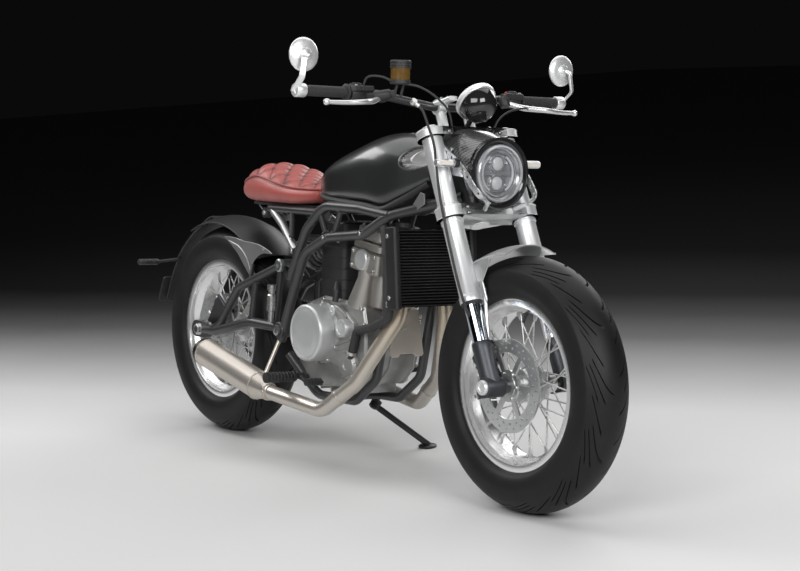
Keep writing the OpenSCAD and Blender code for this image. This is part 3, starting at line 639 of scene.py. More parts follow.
def on_cylinder(points):
    """Upright place of points in the cylinder's frame, which leans eight degrees forward."""
    a = math.radians(8)
    p = np.asarray(points, float)
    return np.array([812, 0, 470]) + p @ np.array([
        [math.cos(a), 0, -math.sin(a)], [0, 1, 0], [math.sin(a), 0, math.cos(a)]])


def block(size, at, r=6, edge=2, finish=0, turn=None):
    """A cast block: a rounded rectangle carried straight up between two chamfers."""
    w, d, h = size
    v, f, k = plate(box_outline(w, d, r), h, [0, 0, 0], [1, 0, 0], [0, 1, 0], edge)
    v = v + np.asarray(at, float) + [0, 0, h / 2]
    return (turn(v) if turn else v), f, finish


def cylinder_and_head():
    """Smooth water jacket, chain tower, head casting, cam cover with its ribs, and screws."""
    parts = [block((132, 140, 94), (0, 0, 0), 26, 3, 0, on_cylinder)]
    foot, top = on_cylinder([[-14, -70, -6], [16, -74, 150]])
    parts.append(turned([(0, 0), (40, 0), (40, 8), (34, 40), (27, 76), (24, 110), (25, 118), (25, 150), (20, 156),
                         (0, 156)], foot, top - foot, 48))
    parts.append(block((138, 184, 60), (-1, 0, 92), 14, 4, 0, on_cylinder))
    parts.append(block((134, 176, 22), (0, 0, 154), 16, 3, 0, on_cylinder))
    parts.append(block((116, 168, 40), (0, 0, 178), 18, 7, 0, on_cylinder))
    parts += [block((118, 5, 36), (0, y, 178), 2, 1, 0, on_cylinder) for y in (-50, -16, 16, 50)]
    for s in (-1, 1):
        at = on_cylinder([[-4, s * 92, 126]])[0]
        parts.append(turned([(0, 0), (30, 0), (30, 5), (26, 9), (0, 9)], at - [0, s * 1, 0], [0, s, 0], 40, 2))
        for x, z in ((-52, 104), (52, 104), (-52, 144), (52, 144)):
            parts += bolt(on_cylinder([[x, s * 91, z]])[0], [0, s, 0], 5.5, 5, 1)
        for x in (-44, 44):
            for y in (-70, 70):
                parts += bolt(on_cylinder([[x, y, 217]])[0], [math.sin(0.14), 0, math.cos(0.14)], 6, 5, 1)
    port = on_cylinder([[62, -34, 132]])[0]
    parts.append(turned([(0, 0), (34, 0), (34, 16), (28, 20), (0, 20)], port, [0.86, -0.1, -0.3], 32))
    return parts


make("cylinder_and_head", cylinder_and_head(), [HEAD_ALLOY, BRIGHT_BOLT, COVER_ALLOY], "frame",
     "cylinder_head")


def covers():
    """Clutch cover with its bright domed lid, oil filter cap, pump cover, generator cover."""
    clutch = np.array([657, -94, 379])
    out = [0, -1, 0]
    parts = [turned([(0, 0), (86, 0), (88, 3), (88, 12), (84, 17), (82, 22), (0, 22)], clutch, out, 96)]
    parts.append(turned([(0, 18), (80, 18), (80.6, 20), (80.6, 64), (79.4, 68), (76, 71), (72, 72), (69.4, 71.6),
                         (68.6, 70.4), (67, 70.4), (66, 71), (40, 71.8), (0, 72)], clutch, out, 128, 2))
    for k in range(10):
        a = math.radians(36 * k + 12)
        at = clutch + [85 * math.cos(a), -8, 85 * math.sin(a)]
        parts.append(turned([(0, 0), (8, 0), (8, 16), (0, 16)], at + [0, 4, 0], out, 20))
        parts += bolt(at + [0, -12, 0], out, 5.5, 5, 1)
    cap = np.array([778, -94, 402])
    parts.append(turned([(0, 0), (33, 0), (33, 8), (27, 12), (26, 30), (24, 33), (17, 34), (15, 32), (0, 32)],
                        cap, out, 64, 2))
    for k in range(3):
        a = math.radians(120 * k + 30)
        parts += bolt(cap + [30 * math.cos(a), -8, 30 * math.sin(a)], out, 5, 5, 1)
    pump = np.array([790, -94, 300])
    parts.append(turned([(0, 0), (38, 0), (40, 3), (40, 12), (34, 17), (32, 20), (14, 20), (12, 17), (0, 17)],
                        pump, out, 64))
    for k in range(5):
        a = math.radians(72 * k + 20)
        parts += bolt(pump + [35 * math.cos(a), -12, 35 * math.sin(a)], out, 5, 5, 1)
    arm = flow([[700, -102, 448], [735, -108, 452], [760, -106, 440], [776, -104, 428]], 24)
    parts.append(skin(carried(arm, box_outline(20, 14, 4))))
    parts.append(turned([(0, 0), (15, 0), (15, 20), (11, 23), (0, 23)], [716, -94, 446], out, 32, 2))
    web = [[690, 300], [760, 286], [812, 330], [812, 420], [770, 446], [700, 446]]
    parts.append(side_plate(web, 16, -99, 3))
    rib = [[724, 330], [800, 352], [800, 358], [724, 338]]
    parts += [side_plate(np.array(rib) + [0, 16 * k], 5, -109, 1) for k in range(4)]
    stator = np.array([640, 94, 372])
    parts.append(turned([(0, 0), (76, 0), (78, 3), (78, 12), (70, 15), (69, 26), (62, 35), (50, 38), (22, 39),
                         (20, 36), (0, 36)], stator, [0, 1, 0], 96))
    for k in range(7):
        a = math.radians(51.4 * k)
        parts += bolt(stator + [73.5 * math.cos(a), 12, 73.5 * math.sin(a)], [0, 1, 0], 5, 5, 1)
    return parts


make("engine_covers_right", covers(), CAST, "frame", "engine_covers")

BLACK_PLASTIC = finish("moulded_black_plastic", [(0.018, 0.018, 0.019), (0.028, 0.028, 0.029)], 0,
                       (0.42, 0.58), 700, 0.00006)
BLACK_RUBBER = finish("black_rubber", [(0.020, 0.020, 0.021), (0.030, 0.030, 0.031)], 0, (0.5, 0.68), 240)
RADIATOR_PAINT = finish("radiator_paint", [(0.016, 0.016, 0.017), (0.026, 0.026, 0.027)], 0.2,
                        (0.34, 0.5), 500, 0.00004)


def intake():
    """Air box with ribs and a lid line, and the throttle body with its clamp and injector."""
    parts = [block((120, 172, 222), (666, 0, 470), 16, 5)]
    for k in range(6):
        parts.append(block((124, 176, 3), (666, 0, 500 + 30 * k), 18, 1))
    for z in (520, 640):
        parts += mirrored(bolt([700, -87, z], [0, -1, 0], 6, 5, 1))
    body = [[724, -30, 560], [752, -30, 560]]
    parts.append(tube([[722, 0, 566], [756, 0, 562]], 26, 10, 32, 1))
    parts.append(tube([[700, -86, 520], [716, -100, 500], [716, -104, 470]], 9, 12))
    return parts


make("air_box", intake(), [BLACK_PLASTIC, BRIGHT_BOLT], "frame", "airbox")


def radiator_core():
    """Two end tanks, flat tubes and a wavy fin between each pair: a strip along a zigzag."""
    def seat(points):
        a = math.radians(-6)
        p = np.asarray(points, float)
        return np.array([1022, 0, 588]) + p @ np.array([
            [math.cos(a), 0, -math.sin(a)], [0, 1, 0], [math.sin(a), 0, math.cos(a)]])
    parts = []
    for k in range(26):
        v, f, kind = block((30, 236, 3), (2, 0, -104 + 8 * k), 1.4, 0.5)
        parts.append((seat(v), f, kind))
    y = np.linspace(-116, 116, 187)
    for k in range(25):
        wave = -98.6 + 8 * k + 2.4 * np.sign(np.sin(np.arange(len(y)) * math.pi / 2 + 0.7))
        edge = np.stack([
            np.column_stack([np.full_like(y, x), y, wave]) for x in (-11, 14)], 1)
        flat = skin(edge, around=False)
        parts.append((seat(flat[0]), flat[1], 0))
    for s in (-1, 1):
        v, f, kind = block((46, 22, 220), (1, s * 129, -112), 8, 3)
        parts.append((seat(v), f, kind))
        for z in (-80, 84):
            at = seat([[-6, s * 139, z]])[0]
            parts += bolt(at, [0, s, 0], 6, 5, 1)
    v, f, kind = block((4, 232, 206), (-12, 0, -106), 6, 1)
    parts.append((seat(v), f, kind))
    parts.append(turned([(0, 0), (22, 0), (24, 2), (24, 12), (20, 15), (0, 15)], seat([[0, -90, 106]])[0], [0, 0, 1]))
    return parts


make("radiator_core", radiator_core(), [RADIATOR_PAINT, BRIGHT_BOLT], "frame", "radiator")


def hoses():
    """Moulded rubber hoses on their routes, each end under a worm drive clamp."""
    routes = [
        ([[1010, 22, 672], [950, 22, 678], [878, 22, 650]], 13, 40),
        ([[1012, -124, 500], [1000, -124, 450], [930, -124, 420], [830, -107, 400], [806, -107, 322]], 12, 24),
    ]
    parts = []
    for line, r, bend in routes:
        parts.append(tube(line, r, bend, 24))
        for end, nxt in ((line[0], line[1]), (line[-1], line[-2])):
            way = unit(np.array(nxt, float) - end)
            at = np.array(end) + way * 10
            parts.append(turned([(r - 1, 0), (r + 1.2, 0), (r + 1.2, 9), (r - 1, 9)], at, way, 32, 1))
            parts.append(turned([(0, 0), (3, 0), (3, 14), (0, 14)], at + [0, -r - 2, -7], [0, 0, 1], 12, 1))
    return parts


make("coolant_hose_pair", hoses(), [BLACK_RUBBER, BRIGHT_BOLT], "frame", "coolant_hoses")

# ---- Exhaust ------------------------------------------------------------------------------
# Twin stainless pipes leave the head, drop in front of the engine, run back along both sides
# and end in low reverse cone mufflers with dark end caps. Heat has tinted them near the head.

HEADER_ROUTE = [
    [888, -38, 604], [988, -56, 590], [985, -80, 450], [880, -140, 262], [760, -168, 173],
    [514, -185, 194],
]
MUFFLER_FROM = np.array([514, -185, 194.0])
MUFFLER_TO = np.array([133, -190, 274.0])


def stainless():
    """Warm brushed steel: roughness streaks along the pipe, straw to blue tint above z."""
    material, add, shader, join = workbench("warm_stainless")
    place = add("TexCoord").outputs["Object"]
    cloud = add("TexNoise", Vector=place, Scale=7.0, Detail=5.0).outputs[0]
    drawn = add("Mapping", Vector=place, Scale=(6, 40, 40)).outputs[0]
    streak = add("TexNoise", Vector=drawn, Scale=18.0, Detail=7.0).outputs[0]
    height = add("SeparateXYZ", Vector=place).outputs[2]
    hot = add("MapRange", Value=height, i1=0.30, i2=0.66, i3=0.0, i4=1.0).outputs[0]
    mixed = add("Math", {"operation": "MULTIPLY_ADD"}, i0=cloud, i1=0.25, i2=hot).outputs[0]
    colour = ramp(add, mixed, [
        (0.10, (0.56, 0.52, 0.475)), (0.45, (0.58, 0.51, 0.42)), (0.75, (0.52, 0.41, 0.28)),
        (0.95, (0.40, 0.29, 0.22)),
    ])
    join(colour, shader.inputs["Base Color"])
    shader.inputs["Metallic"].default_value = 0.72
    worn = add("MapRange", Value=streak, i1=0.3, i2=0.7, i3=0.26, i4=0.40)
    join(worn.outputs[0], shader.inputs["Roughness"])
    relief = add("Bump", Height=streak, Strength=0.5, Distance=0.00002)
    join(relief.outputs[0], shader.inputs["Normal"])
    return material


STAINLESS = stainless()
END_CAP = finish("dark_end_cap", [(0.05, 0.048, 0.046), (0.075, 0.072, 0.07)], 0.9, (0.3, 0.45), 200)


def exhaust_pipe():
    """Header tube, slip joint, muffler cone, can with an inner core tube, end cap, bracket."""
    parts = [tube(HEADER_ROUTE, 21, 66, 36)]
    way = unit(MUFFLER_TO - MUFFLER_FROM)
    parts.append(turned([(0, -6), (23, -6), (24, -5), (24, 12), (26, 17), (38, 50), (42, 62), (42, 366), (41, 368)],
                        MUFFLER_FROM, way, 64))
    parts.append(turned([(41, 366), (42, 366), (42.6, 368), (42.6, 378), (40, 384), (36, 386), (26, 386), (25, 382),
                         (25, 340), (0, 340)], MUFFLER_FROM, way, 64, 1))
    for at, r in ((4, 24.8), (60, 41.6), (362, 42)):
        parts.append(weld(MUFFLER_FROM + way * at, way, r - 0.6))
    flange = np.array([888, -38, 604.0])
    parts.append(turned([(0, -2), (33, -2), (34, 0), (34, 7), (31, 9), (21, 9)], flange, [100, -18, -14], 40))
    parts.append(tube([[470, -182, 228], [474, -128, 346]], 6))
    parts += bolt([470, -184, 232], [0, -1, 0], 7, 8, 2)
    lap = np.array([880, -140, 262.0])
    parts.append(turned([(20, -8), (22.6, -8), (23, -6), (23, 6), (22.6, 8), (20, 8)], [820, -154.0, 218],
                        [-120, -28, -89], 36))
    return parts


make("exhaust_pipe_right", exhaust_pipe(), [STAINLESS, END_CAP, BRIGHT_BOLT], "frame", "exhaust_right")
make("exhaust_pipe_left", left_of(exhaust_pipe()), [STAINLESS, END_CAP, BRIGHT_BOLT], "frame",
     "exhaust_left")

# ---- Wheels -------------------------------------------------------------------------------
# Wide radial tyres on polished 16 inch alloy rims, laced with 36 stainless spokes to turned
# hubs. The tread is a moulded rain pattern of long curved grooves, mirrored on the two sides.


def on_wheel(points, x):
    """Upright place of wheel points: axle along Z, the machine's right side at +Z."""
    p = np.asarray(points, float)
    return np.stack([x + p[..., 0], -p[..., 2], AXLE_Z + p[..., 1]], -1)


def tyre_rubber():
    """Dark rubber: fine mottle, dull; its ramp also reads a crown mark, which no mesh here carries."""
    material, add, shader, join = workbench("tyre_rubber")
    place = add("TexCoord").outputs["Object"]
    cloud = add("TexNoise", Vector=place, Scale=22.0, Detail=6.0).outputs[0]
    crown = add("Attribute", {"attribute_name": "crown"}).outputs["Fac"]
    mixed = add("Math", {"operation": "MULTIPLY_ADD"}, i0=cloud, i1=0.4, i2=crown).outputs[0]
    join(ramp(add, mixed, [(0.15, (0.004, 0.004, 0.0042)), (0.9, (0.021, 0.021, 0.022))]),
         shader.inputs["Base Color"])
    grit = add("TexNoise", Vector=place, Scale=900.0, Detail=3.0).outputs[0]
    worn = add("MapRange", Value=grit, i1=0.3, i2=0.7, i3=0.46, i4=0.62)
    join(worn.outputs[0], shader.inputs["Roughness"])
    relief = add("Bump", Height=grit, Strength=0.7, Distance=0.00008)
    join(relief.outputs[0], shader.inputs["Normal"])
    shader.inputs["Specular IOR Level"].default_value = 0.35
    return material


TYRE_RUBBER = tyre_rubber()
PITCHES = 12


def tread_columns():
    """Turn angles inside one pitch, with four columns at each groove's walls and fill between,
    and each column's share of the three grooves: long, medium and a short one at the edge."""
    pitch = 360 / PITCHES
    wall = np.array([0.0, 0.35, 1.25, 1.6])
    depth = np.array([0.0, 1.0, 1.0, 0.0])
    spots, share = [], []
    for start, which in ((0.6, 0), (pitch * 0.30, 1), (pitch * 0.52, 2), (pitch * 0.76, 1)):
        spots += (start + wall).tolist()
        share += [[d if k == which else 0 for k in range(3)] for d in depth]
    fill = [a for a in np.arange(0, pitch, 1.2) if min(abs(a - s) for s in spots) > 0.5]
    spots += fill
    share += [[0, 0, 0]] * len(fill)
    order = np.argsort(spots)
    return np.array(spots)[order], np.array(share)[order]


def tyre(name, body, node, x):
    """r = crown arc, then a smooth shoulder to the bead; grooves follow u + 34 t - 9 sin(pi t)
    degrees from the middle to the shoulder and cut 4.6 mm in along the surface's normal."""
    spread = math.asin(0.94 * 73 / 84)
    a = np.linspace(0, spread, 30)
    crown = np.column_stack([239 + 84 * np.cos(a), 84 * np.sin(a)])
    side = flow([crown[-2], crown[-1], [273, 72.0], [256, 72.9], [243, 71], [230, 66], [221, 58], [216.6, 50.5],
                 [210, 47.8], [204.4, 47.6]], 44)[6:]
    half = np.vstack([crown, side])
    t = np.concatenate([np.linspace(0, 1, 30), np.full(len(side), 1.0)])
    drop = np.concatenate([np.zeros(30), np.linspace(0.05, 1, len(side))])
    line = np.vstack([half[::-1] * [1, -1], half[1:]])
    t = np.concatenate([-t[::-1], t[1:]])
    drop = np.concatenate([drop[::-1], drop[1:]])
    out = np.column_stack([np.gradient(line[:, 1]), -np.gradient(line[:, 0])])
    out = unit(out)
    reach = np.abs(t)
    live = np.clip((0.02 - drop) * 60, 0, 1)

    def between(low, high):
        return np.clip((reach - low) / 0.05, 0, 1) * np.clip((high - reach) / 0.05, 0, 1) * live
    right = t >= 0
    deep = np.where(right, between(0.10, 0.72), between(0.30, 0.80))
    short = np.where(right, between(0.42, 0.82), between(0.12, 0.60))
    near = np.where(right, between(0.64, 0.94), between(0.70, 0.95))
    columns, share = tread_columns()
    pitch = 360 / PITCHES
    turn = np.radians((np.arange(PITCHES)[:, None] * pitch + columns).ravel())
    share = np.tile(share, (PITCHES, 1))
    depth = 4.6 * (share[:, :1] * deep + share[:, 1:2] * short + share[:, 2:] * near)
    ribs = 0.7 * (np.exp(-((line[:, 0] - 262) / 1.6) ** 2) + np.exp(-((line[:, 0] - 232) / 1.4) ** 2))
    edge = line[None] + out[None] * ((ribs - 0.7 * (ribs > 0.35))[None] - depth)[..., None]
    angle = turn[:, None] + np.radians(34 * reach - 9 * np.sin(math.pi * reach))[None]
    grid = np.stack([edge[..., 0] * np.cos(angle), edge[..., 0] * np.sin(angle), edge[..., 1]], -1)
    v, f, k = skin(on_wheel(grid, x), around=True, closed=True)
    return make(name, [(v, f, k)], TYRE_RUBBER, body, node, 32)


tyre("rear_tread_tyre", "rear_wheel", "rear_tyre", 0)
tyre("front_tread_tyre", "front_wheel", "front_tyre", WHEELBASE)

RIM_ALLOY = finish("polished_rim_alloy", [(0.84, 0.84, 0.84), (0.90, 0.90, 0.90)], 0.85, (0.20, 0.28), 120)
SPOKE_STEEL = finish("spoke_steel", [(0.70, 0.70, 0.69), (0.78, 0.78, 0.77)], 0.85, (0.24, 0.34), 200)
HUB_ALLOY = finish("turned_hub_alloy", [(0.62, 0.63, 0.63), (0.72, 0.73, 0.73)], 0.85, (0.26, 0.36), 260)
dress(SPOKE_STEEL, "rear_spokes", "front_spokes")
dress(HUB_ALLOY, "rear_hub", "front_hub")


def rim(name, body, node, x):
    """The rim's section turned round the axle: flanges, bead seats, a stepped drop centre."""
    half = [[-17.5, 0], [-17, 18], [-9, 27], [-2.4, 34], [-1, 38], [-1, 46], [1, 48], [10, 48.2],
            [13, 49], [14, 50.4], [13.4, 52.2], [11.5, 52.6], [2, 52.4], [-3.6, 51.6], [-5.2, 49],
            [-6.2, 40], [-9, 35.5], [-17, 24.5], [-20.2, 20], [-20.4, 0]]
    o = np.array(half)
    line = np.vstack([o, (o * [1, -1])[::-1][1:-1]])
    a = np.arange(160) * 2 * math.pi / 160
    r = 203.2 + line[:, 0]
    grid = np.stack([r * np.cos(a)[:, None], r * np.sin(a)[:, None], np.broadcast_to(line[:, 1], (160, len(line)))], -1)
    parts = [skin(on_wheel(grid, x), closed=True)]
    for k in range(36):
        at = math.radians(10 * k)
        side = 1 if k % 2 == 0 else -1
        foot = on_wheel([180 * math.cos(at), 180 * math.sin(at), side * 9.5], x)
        away = on_wheel([(180 - 40) * math.cos(at), (180 - 40) * math.sin(at), side * 19], x) - foot
        parts.append(turned([(0, -6), (4.6, -6), (4.6, 2), (3.2, 4), (3.2, 13), (2.2, 15), (0, 15)], foot, away, 8, 1))
    stem = on_wheel([0, 184, 14], x)
    parts.append(turned([(0, 0), (5, 0), (4, 8), (4, 30), (0, 31)], stem, on_wheel([0, 150, 30], x) - stem, 12, 2))
    return make(name, parts, [RIM_ALLOY, HUB_ALLOY, BLACK_RUBBER], body, node, 30)


rim("rear_laced_rim", "rear_wheel", "rear_rim", 0)
rim("front_laced_rim", "front_wheel", "front_rim", WHEELBASE)


def hub_fittings(name, body, x, disc_y, axle_end):
    """Screws round the disc carrier and round the hub's other face."""
    parts = []
    for k in range(6):
        a = math.radians(60 * k)
        parts += bolt(on_wheel([34 * math.cos(a), 34 * math.sin(a), disc_y + 4], x), [0, -1, 0], 4.5, 4)
        parts += bolt(on_wheel([34 * math.cos(a), 34 * math.sin(a), -41], x), [0, 1, 0], 4.5, 4)
    return make(name, parts, BRIGHT_BOLT, body, ())


hub_fittings("rear_hub_screws", "rear_wheel", 0, 66, 0)
hub_fittings("front_hub_screws", "front_wheel", WHEELBASE, 66, 0)

# ---- Chain and rear axle ------------------------------------------------------------------
# A 5/8 inch roller chain runs on the left from a 14 tooth sprocket to a 42 tooth one; each
# link is two waisted steel plates on pins. The axle carries the right side brake caliper.

CHAIN_STEEL = finish("oiled_chain_steel", [(0.20, 0.19, 0.18), (0.30, 0.29, 0.27)], 1, (0.28, 0.42), 300)
AXLE_STEEL = finish("axle_steel", [(0.10, 0.10, 0.105), (0.15, 0.15, 0.155)], 0.9, (0.28, 0.4), 300)
PITCH = 15.875


def chain_links():
    """The belt line round both sprockets at equal steps of one pitch; on every link the same
    plate outline, two discs joined by a waist, is turned to the line and set on both sides."""
    big, small = PITCH * 42 / (2 * math.pi) + 1.5, PITCH * 14 / (2 * math.pi) + 1.5
    a, b = np.array([0.0, 323.0]), np.array([535.0, 375.0])
    gap = b - a
    tilt = math.atan2(gap[1], gap[0])
    slope = math.acos((big - small) / np.linalg.norm(gap))
    up, down = tilt + slope, tilt - slope
    rear = np.linspace(up, down + 2 * math.pi, 160)
    front = np.linspace(down, up, 60)
    line = np.vstack([a + big * np.column_stack([np.cos(rear), np.sin(rear)]),
                      b + small * np.column_stack([np.cos(front), np.sin(front)])])
    line = np.vstack([line, line[:1]])
    run = np.concatenate([[0], np.cumsum(np.linalg.norm(np.diff(line, axis=0), axis=1))])
    count = 2 * round(run[-1] / PITCH / 2)
    at = np.arange(count) * run[-1] / count
    pins = np.column_stack([np.interp(at, run, line[:, k]) for k in (0, 1)])
    nxt = np.roll(pins, -1, 0)
    middle, way = (pins + nxt) / 2, unit(nxt - pins)
    half = PITCH / 2
    t = np.linspace(-0.62 * math.pi, 0.62 * math.pi, 9)
    end = np.column_stack([half + 7.2 * np.cos(t), 7.2 * np.sin(t)])
    outline = np.vstack([end, [[0, 4.6]], -end, [[0, -4.6]]])
    parts = []
    for inner in (0, 1):
        m, w = middle[inner::2], way[inner::2]
        flat = (m[:, None] + outline[None, :, :1] * w[:, None]
                + outline[None, :, 1:] * np.column_stack([-w[:, 1], w[:, 0]])[:, None])
        for side in (-1, 1):
            y = 92 + side * ((3.4, 5.4)[inner] + 0)
            for low, high in ((y - 0.8, y + 0.8),):
                k, n = flat.shape[:2]
                both = np.stack([np.full((k, n), low), np.full((k, n), high)], 1)
                grid = np.stack([np.repeat(flat[:, None, :, 0], 2, 1), both,
                                 np.repeat(flat[:, None, :, 1], 2, 1)], -1)
                faces, base = [], skin(grid[0])[1]
                faces = [[q + j * 2 * n for q in face] for j in range(k) for face in base]
                parts.append((grid.reshape(-1, 3), faces, 0))
    c = circle(4.6, 10)
    roll = np.stack([pins[:, None, 0] + c[:, 0], np.full((count, 10), 0.0), pins[:, None, 1] + c[:, 1]], -1)
    grid = np.stack([roll + [0, 85.4, 0], roll + [0, 98.6, 0]], 1)
    base = skin(grid[0])[1]
    parts.append((grid.reshape(-1, 3), [[q + j * 20 for q in f] for j in range(count) for f in base], 0))
    return parts


make("drive_chain", chain_links(), CHAIN_STEEL, "frame", "chain")


def caliper_body(centre, disc_r, angle, y=-66):
    """A two piston caliper across the disc: chamfered halves, bridge, bores and pins."""
    way = np.array([math.cos(angle), 0, math.sin(angle)])
    side = np.array([-math.sin(angle), 0, math.cos(angle)])
    middle = np.asarray(centre, float) + way * (disc_r - 13)
    outline = np.array([[-28, -30], [-20, -42], [14, -42], [28, -28], [28, 28], [14, 42], [-20, 42], [-28, 30]])
    parts = []
    for s, thick in ((-1, 17), (1, 14)):
        parts.append(plate(outline, thick, middle + [0, y + s * (thick / 2 + 4.6), 0], way, side, 3))
    parts.append(plate(np.array([[21, -36], [29, -27], [29, 27], [21, 36]]), 20, middle + [0, y, 0], way, side, 1))
    for k in (-1, 1):
        at = middle + side * 19 * k - way * 2 + [0, y - 21, 0]
        parts.append(turned([(0, 0), (14, 0), (14, 3), (11, 5), (6, 5), (5, 3), (0, 3)], at, [0, -1, 0], 32, 0))
        parts += bolt(middle + side * 34 * k + way * 6 + [0, y - 21, 0], [0, -1, 0], 5, 5, 1)
    parts.append(turned([(0, 0), (3.2, 0), (3.2, 10), (0, 11)], middle + way * 27 + [0, y - 10, 0], way, 12, 1))
    return parts


CALIPER_PAINT = finish("caliper_anodising", [(0.14, 0.14, 0.15), (0.19, 0.19, 0.20)], 0.8, (0.26, 0.38), 400, 0.00004)


def caliper_tie(centre, disc_r, angle, y):
    """The plate from the axle to the caliper: a disc and a block joined by their tangents."""
    a = np.linspace(math.pi / 2, 1.5 * math.pi, 13)
    outline = np.vstack([np.column_stack([24 * np.cos(a), 24 * np.sin(a)]),
                         [[disc_r - 10, -30], [disc_r + 10, -28], [disc_r + 10, 28], [disc_r - 10, 30]]])
    way = np.array([math.cos(angle), 0, math.sin(angle)])
    side = np.array([-math.sin(angle), 0, math.cos(angle)])
    return [plate(outline, 5, np.asarray(centre, float) + [0, y, 0], way, side, 1)]


def rear_axle():
    """Hollow axle with nuts and washers at both ends, and the caliper on its plate."""
    centre = np.array([0, 0, AXLE_Z])
    parts = [turned([(6, -142), (10, -142), (10, 142), (6, 142)], centre, [0, 1, 0], 32)]
    for s in (-1, 1):
        parts.append(turned([(9.6, 0), (19, 0), (19, 3), (9.6, 3)], centre + [0, s * 128, 0], [0, s, 0], 32, 1))
        parts.append(turned([(9.6, 0), (17, 0), (17, 9), (15, 11), (9.6, 11)], centre + [0, s * 130.6, 0], [0, s, 0], 6, 1))
    parts += [(v, f, 2) if k == 0 else (v, f, k) for v, f, k in caliper_body(centre, 108, math.radians(52))]
    parts += caliper_tie(centre, 108, math.radians(52), -90.7)
    return parts


make("rear_axle_and_caliper", rear_axle(), [AXLE_STEEL, BRIGHT_BOLT, CALIPER_PAINT], "frame", "rear_axle")

# ---- Fork ---------------------------------------------------------------------------------
# An upside down fork: silver anodised outer tubes in machined yokes, hard chromed stanchions,
# and black axle carriers clamped on a hollow axle.

FORK_ALLOY = finish("silver_anodised_fork", [(0.84, 0.85, 0.86), (0.90, 0.91, 0.92)], 0.7, (0.34, 0.40), 320)
CHROME = finish("hard_chrome", [(0.55, 0.60, 0.68), (0.62, 0.67, 0.74)], 1, (0.05, 0.10), 60)
CARRIER_ALLOY = finish("dark_cast_carrier", [(0.050, 0.054, 0.060), (0.072, 0.076, 0.084)], 0.7,
                       (0.34, 0.48), 420, 0.00012)
YOKE_ALLOY = finish("machined_yoke_alloy", [(0.82, 0.83, 0.84), (0.88, 0.89, 0.90)], 0.7, (0.34, 0.42), 240,
                    0.00002, stretch=(1, 6, 1))
OUTER_LOW, FORK_TOP, FORK_HALF = 227, 690, 120


def fork_outer():
    """Outer tube with its lower collar and dust seal groove, and the domed top cap."""
    foot, top = on_fork([[0, -FORK_HALF, 0], [0, -FORK_HALF, 700]])
    way = top - foot
    parts = [turned([(22.2, 221), (28.2, 221), (29, 222), (29, 236), (28, 238), (27, 240), (27, 420), (27, 421),
                     (27, 689), (26, 690), (22.2, 690)], foot, way, 72)]
    for z in (432, 437, 476, 481):
        parts.append(turned([(26.5, z), (29.4, z + 0.6), (29.4, z + 3.2), (26.5, z + 3.8)], foot, way, 64))
    parts.append(turned([(0, 686), (21, 686), (21, 696), (19.5, 698), (0, 698)], foot, way, 48, 1))
    parts.append(turned([(0, 690), (8, 690), (8, 698), (0, 698)], foot, way, 6, 2))
    return parts


make("fork_outer_tubes", mirrored(fork_outer()), [FORK_ALLOY, YOKE_ALLOY, BLACK_BOLT], "steering", "fork_outers")


def fork_lower():
    """Stanchion with a rubber wiper, and the axle carrier: socket, boss, pinch arm, screws."""
    foot, top = on_fork([[0, -FORK_HALF, 0], [0, -FORK_HALF, 700]])
    way = top - foot
    parts = [turned([(0, 60), (21.5, 60), (21.5, 286), (0, 286)], foot, way, 64, 1),
             turned([(21.4, 214), (25, 214), (26, 217), (27.5, 221), (21.4, 221)], foot, way, 56, 3)]
    parts.append(turned([(0, -14), (22, -14), (25, -10), (25, 92), (25.6, 100), (25.6, 112), (24, 116), (21.4, 117)],
                        foot, way, 56))
    boss = np.array([WHEELBASE, 0, AXLE_Z])
    parts.append(turned([(10.1, 93.2), (25, 93.2), (26, 94.5), (26, 145), (25, 146.8), (10.1, 146.8)], boss, [0, -1, 0], 56))
    arm = [[-58, -14], [-52, -16], [-10, -16], [-10, 18], [-30, 16], [-58, 2]]
    parts.append(plate(np.array(arm), 16, on_fork([0, -FORK_HALF, 0]), FORK_X, FORK_Z, 1.5))
    parts += bolt(on_fork([-52, -128, -7]), [0, -1, 0], 6, 8, 2)
    for z in (-6, 12):
        parts += bolt(on_fork([-26, -112, z]), -FORK_X, 5, 4, 2)
    return parts


make("fork_lower_legs", mirrored(fork_lower()), [CARRIER_ALLOY, CHROME, BRIGHT_BOLT, BLACK_RUBBER], "steering",
     "fork_lowers")


def yoke(height, thick, bridge):
    """A clamp plate: circles round the legs and the stem joined by waists, pinch screws."""
    a = np.linspace(-0.62 * math.pi, 0.62 * math.pi, 25)
    s = np.linspace(0, 1, 10)[1:-1, None]
    end = np.column_stack([37 * np.sin(a), FORK_HALF + 37 * np.cos(a)])
    front = np.array([[12, 78], [4, 50], [0, 0], [4, -50], [12, -78]])
    left = end[np.argsort(end[:, 0] * 0 + np.arange(len(end)))]
    back = np.array([[-44, -70], [-66, -26], [-68, 0], [-66, 26], [-44, 70]])
    right = np.column_stack([left[::-1, 0], -left[::-1, 1]])
    outline = np.vstack([left[::-1], flow(front, 20), right[::-1], flow(back, 24)])
    parts = [plate(outline, thick, on_fork([0, 0, height]), FORK_X, [0, 1, 0], 2)]
    for side in (-1, 1):
        for dz in ((-8, 8) if thick > 24 else (0,)):
            parts += bolt(on_fork([30, side * 84, height + dz]), FORK_X + np.array([0, side * 0.0, 0]), 5, 5, 1)
    return parts


def both_yokes():
    """Upper and lower yokes, the stem between them and the stem nut."""
    parts = yoke(459, 30, 0) + yoke(676, 22, 0)
    foot, top = on_fork([[-38, 0, 0], [-38, 0, 700]])
    parts.append(turned([(0, 444), (15, 444), (15, 702), (0, 702)], foot, top - foot, 32))
    parts.append(turned([(0, 686), (19, 686), (19, 693), (16, 696), (12, 696), (11, 692), (0, 692)], foot, top - foot, 6, 1))
    for z in (442, 444):
        parts.append(turned([(0, z - 2), (24, z - 2), (26, z), (26, z + 4), (0, z + 4)], foot, top - foot, 48, 0))
    return parts


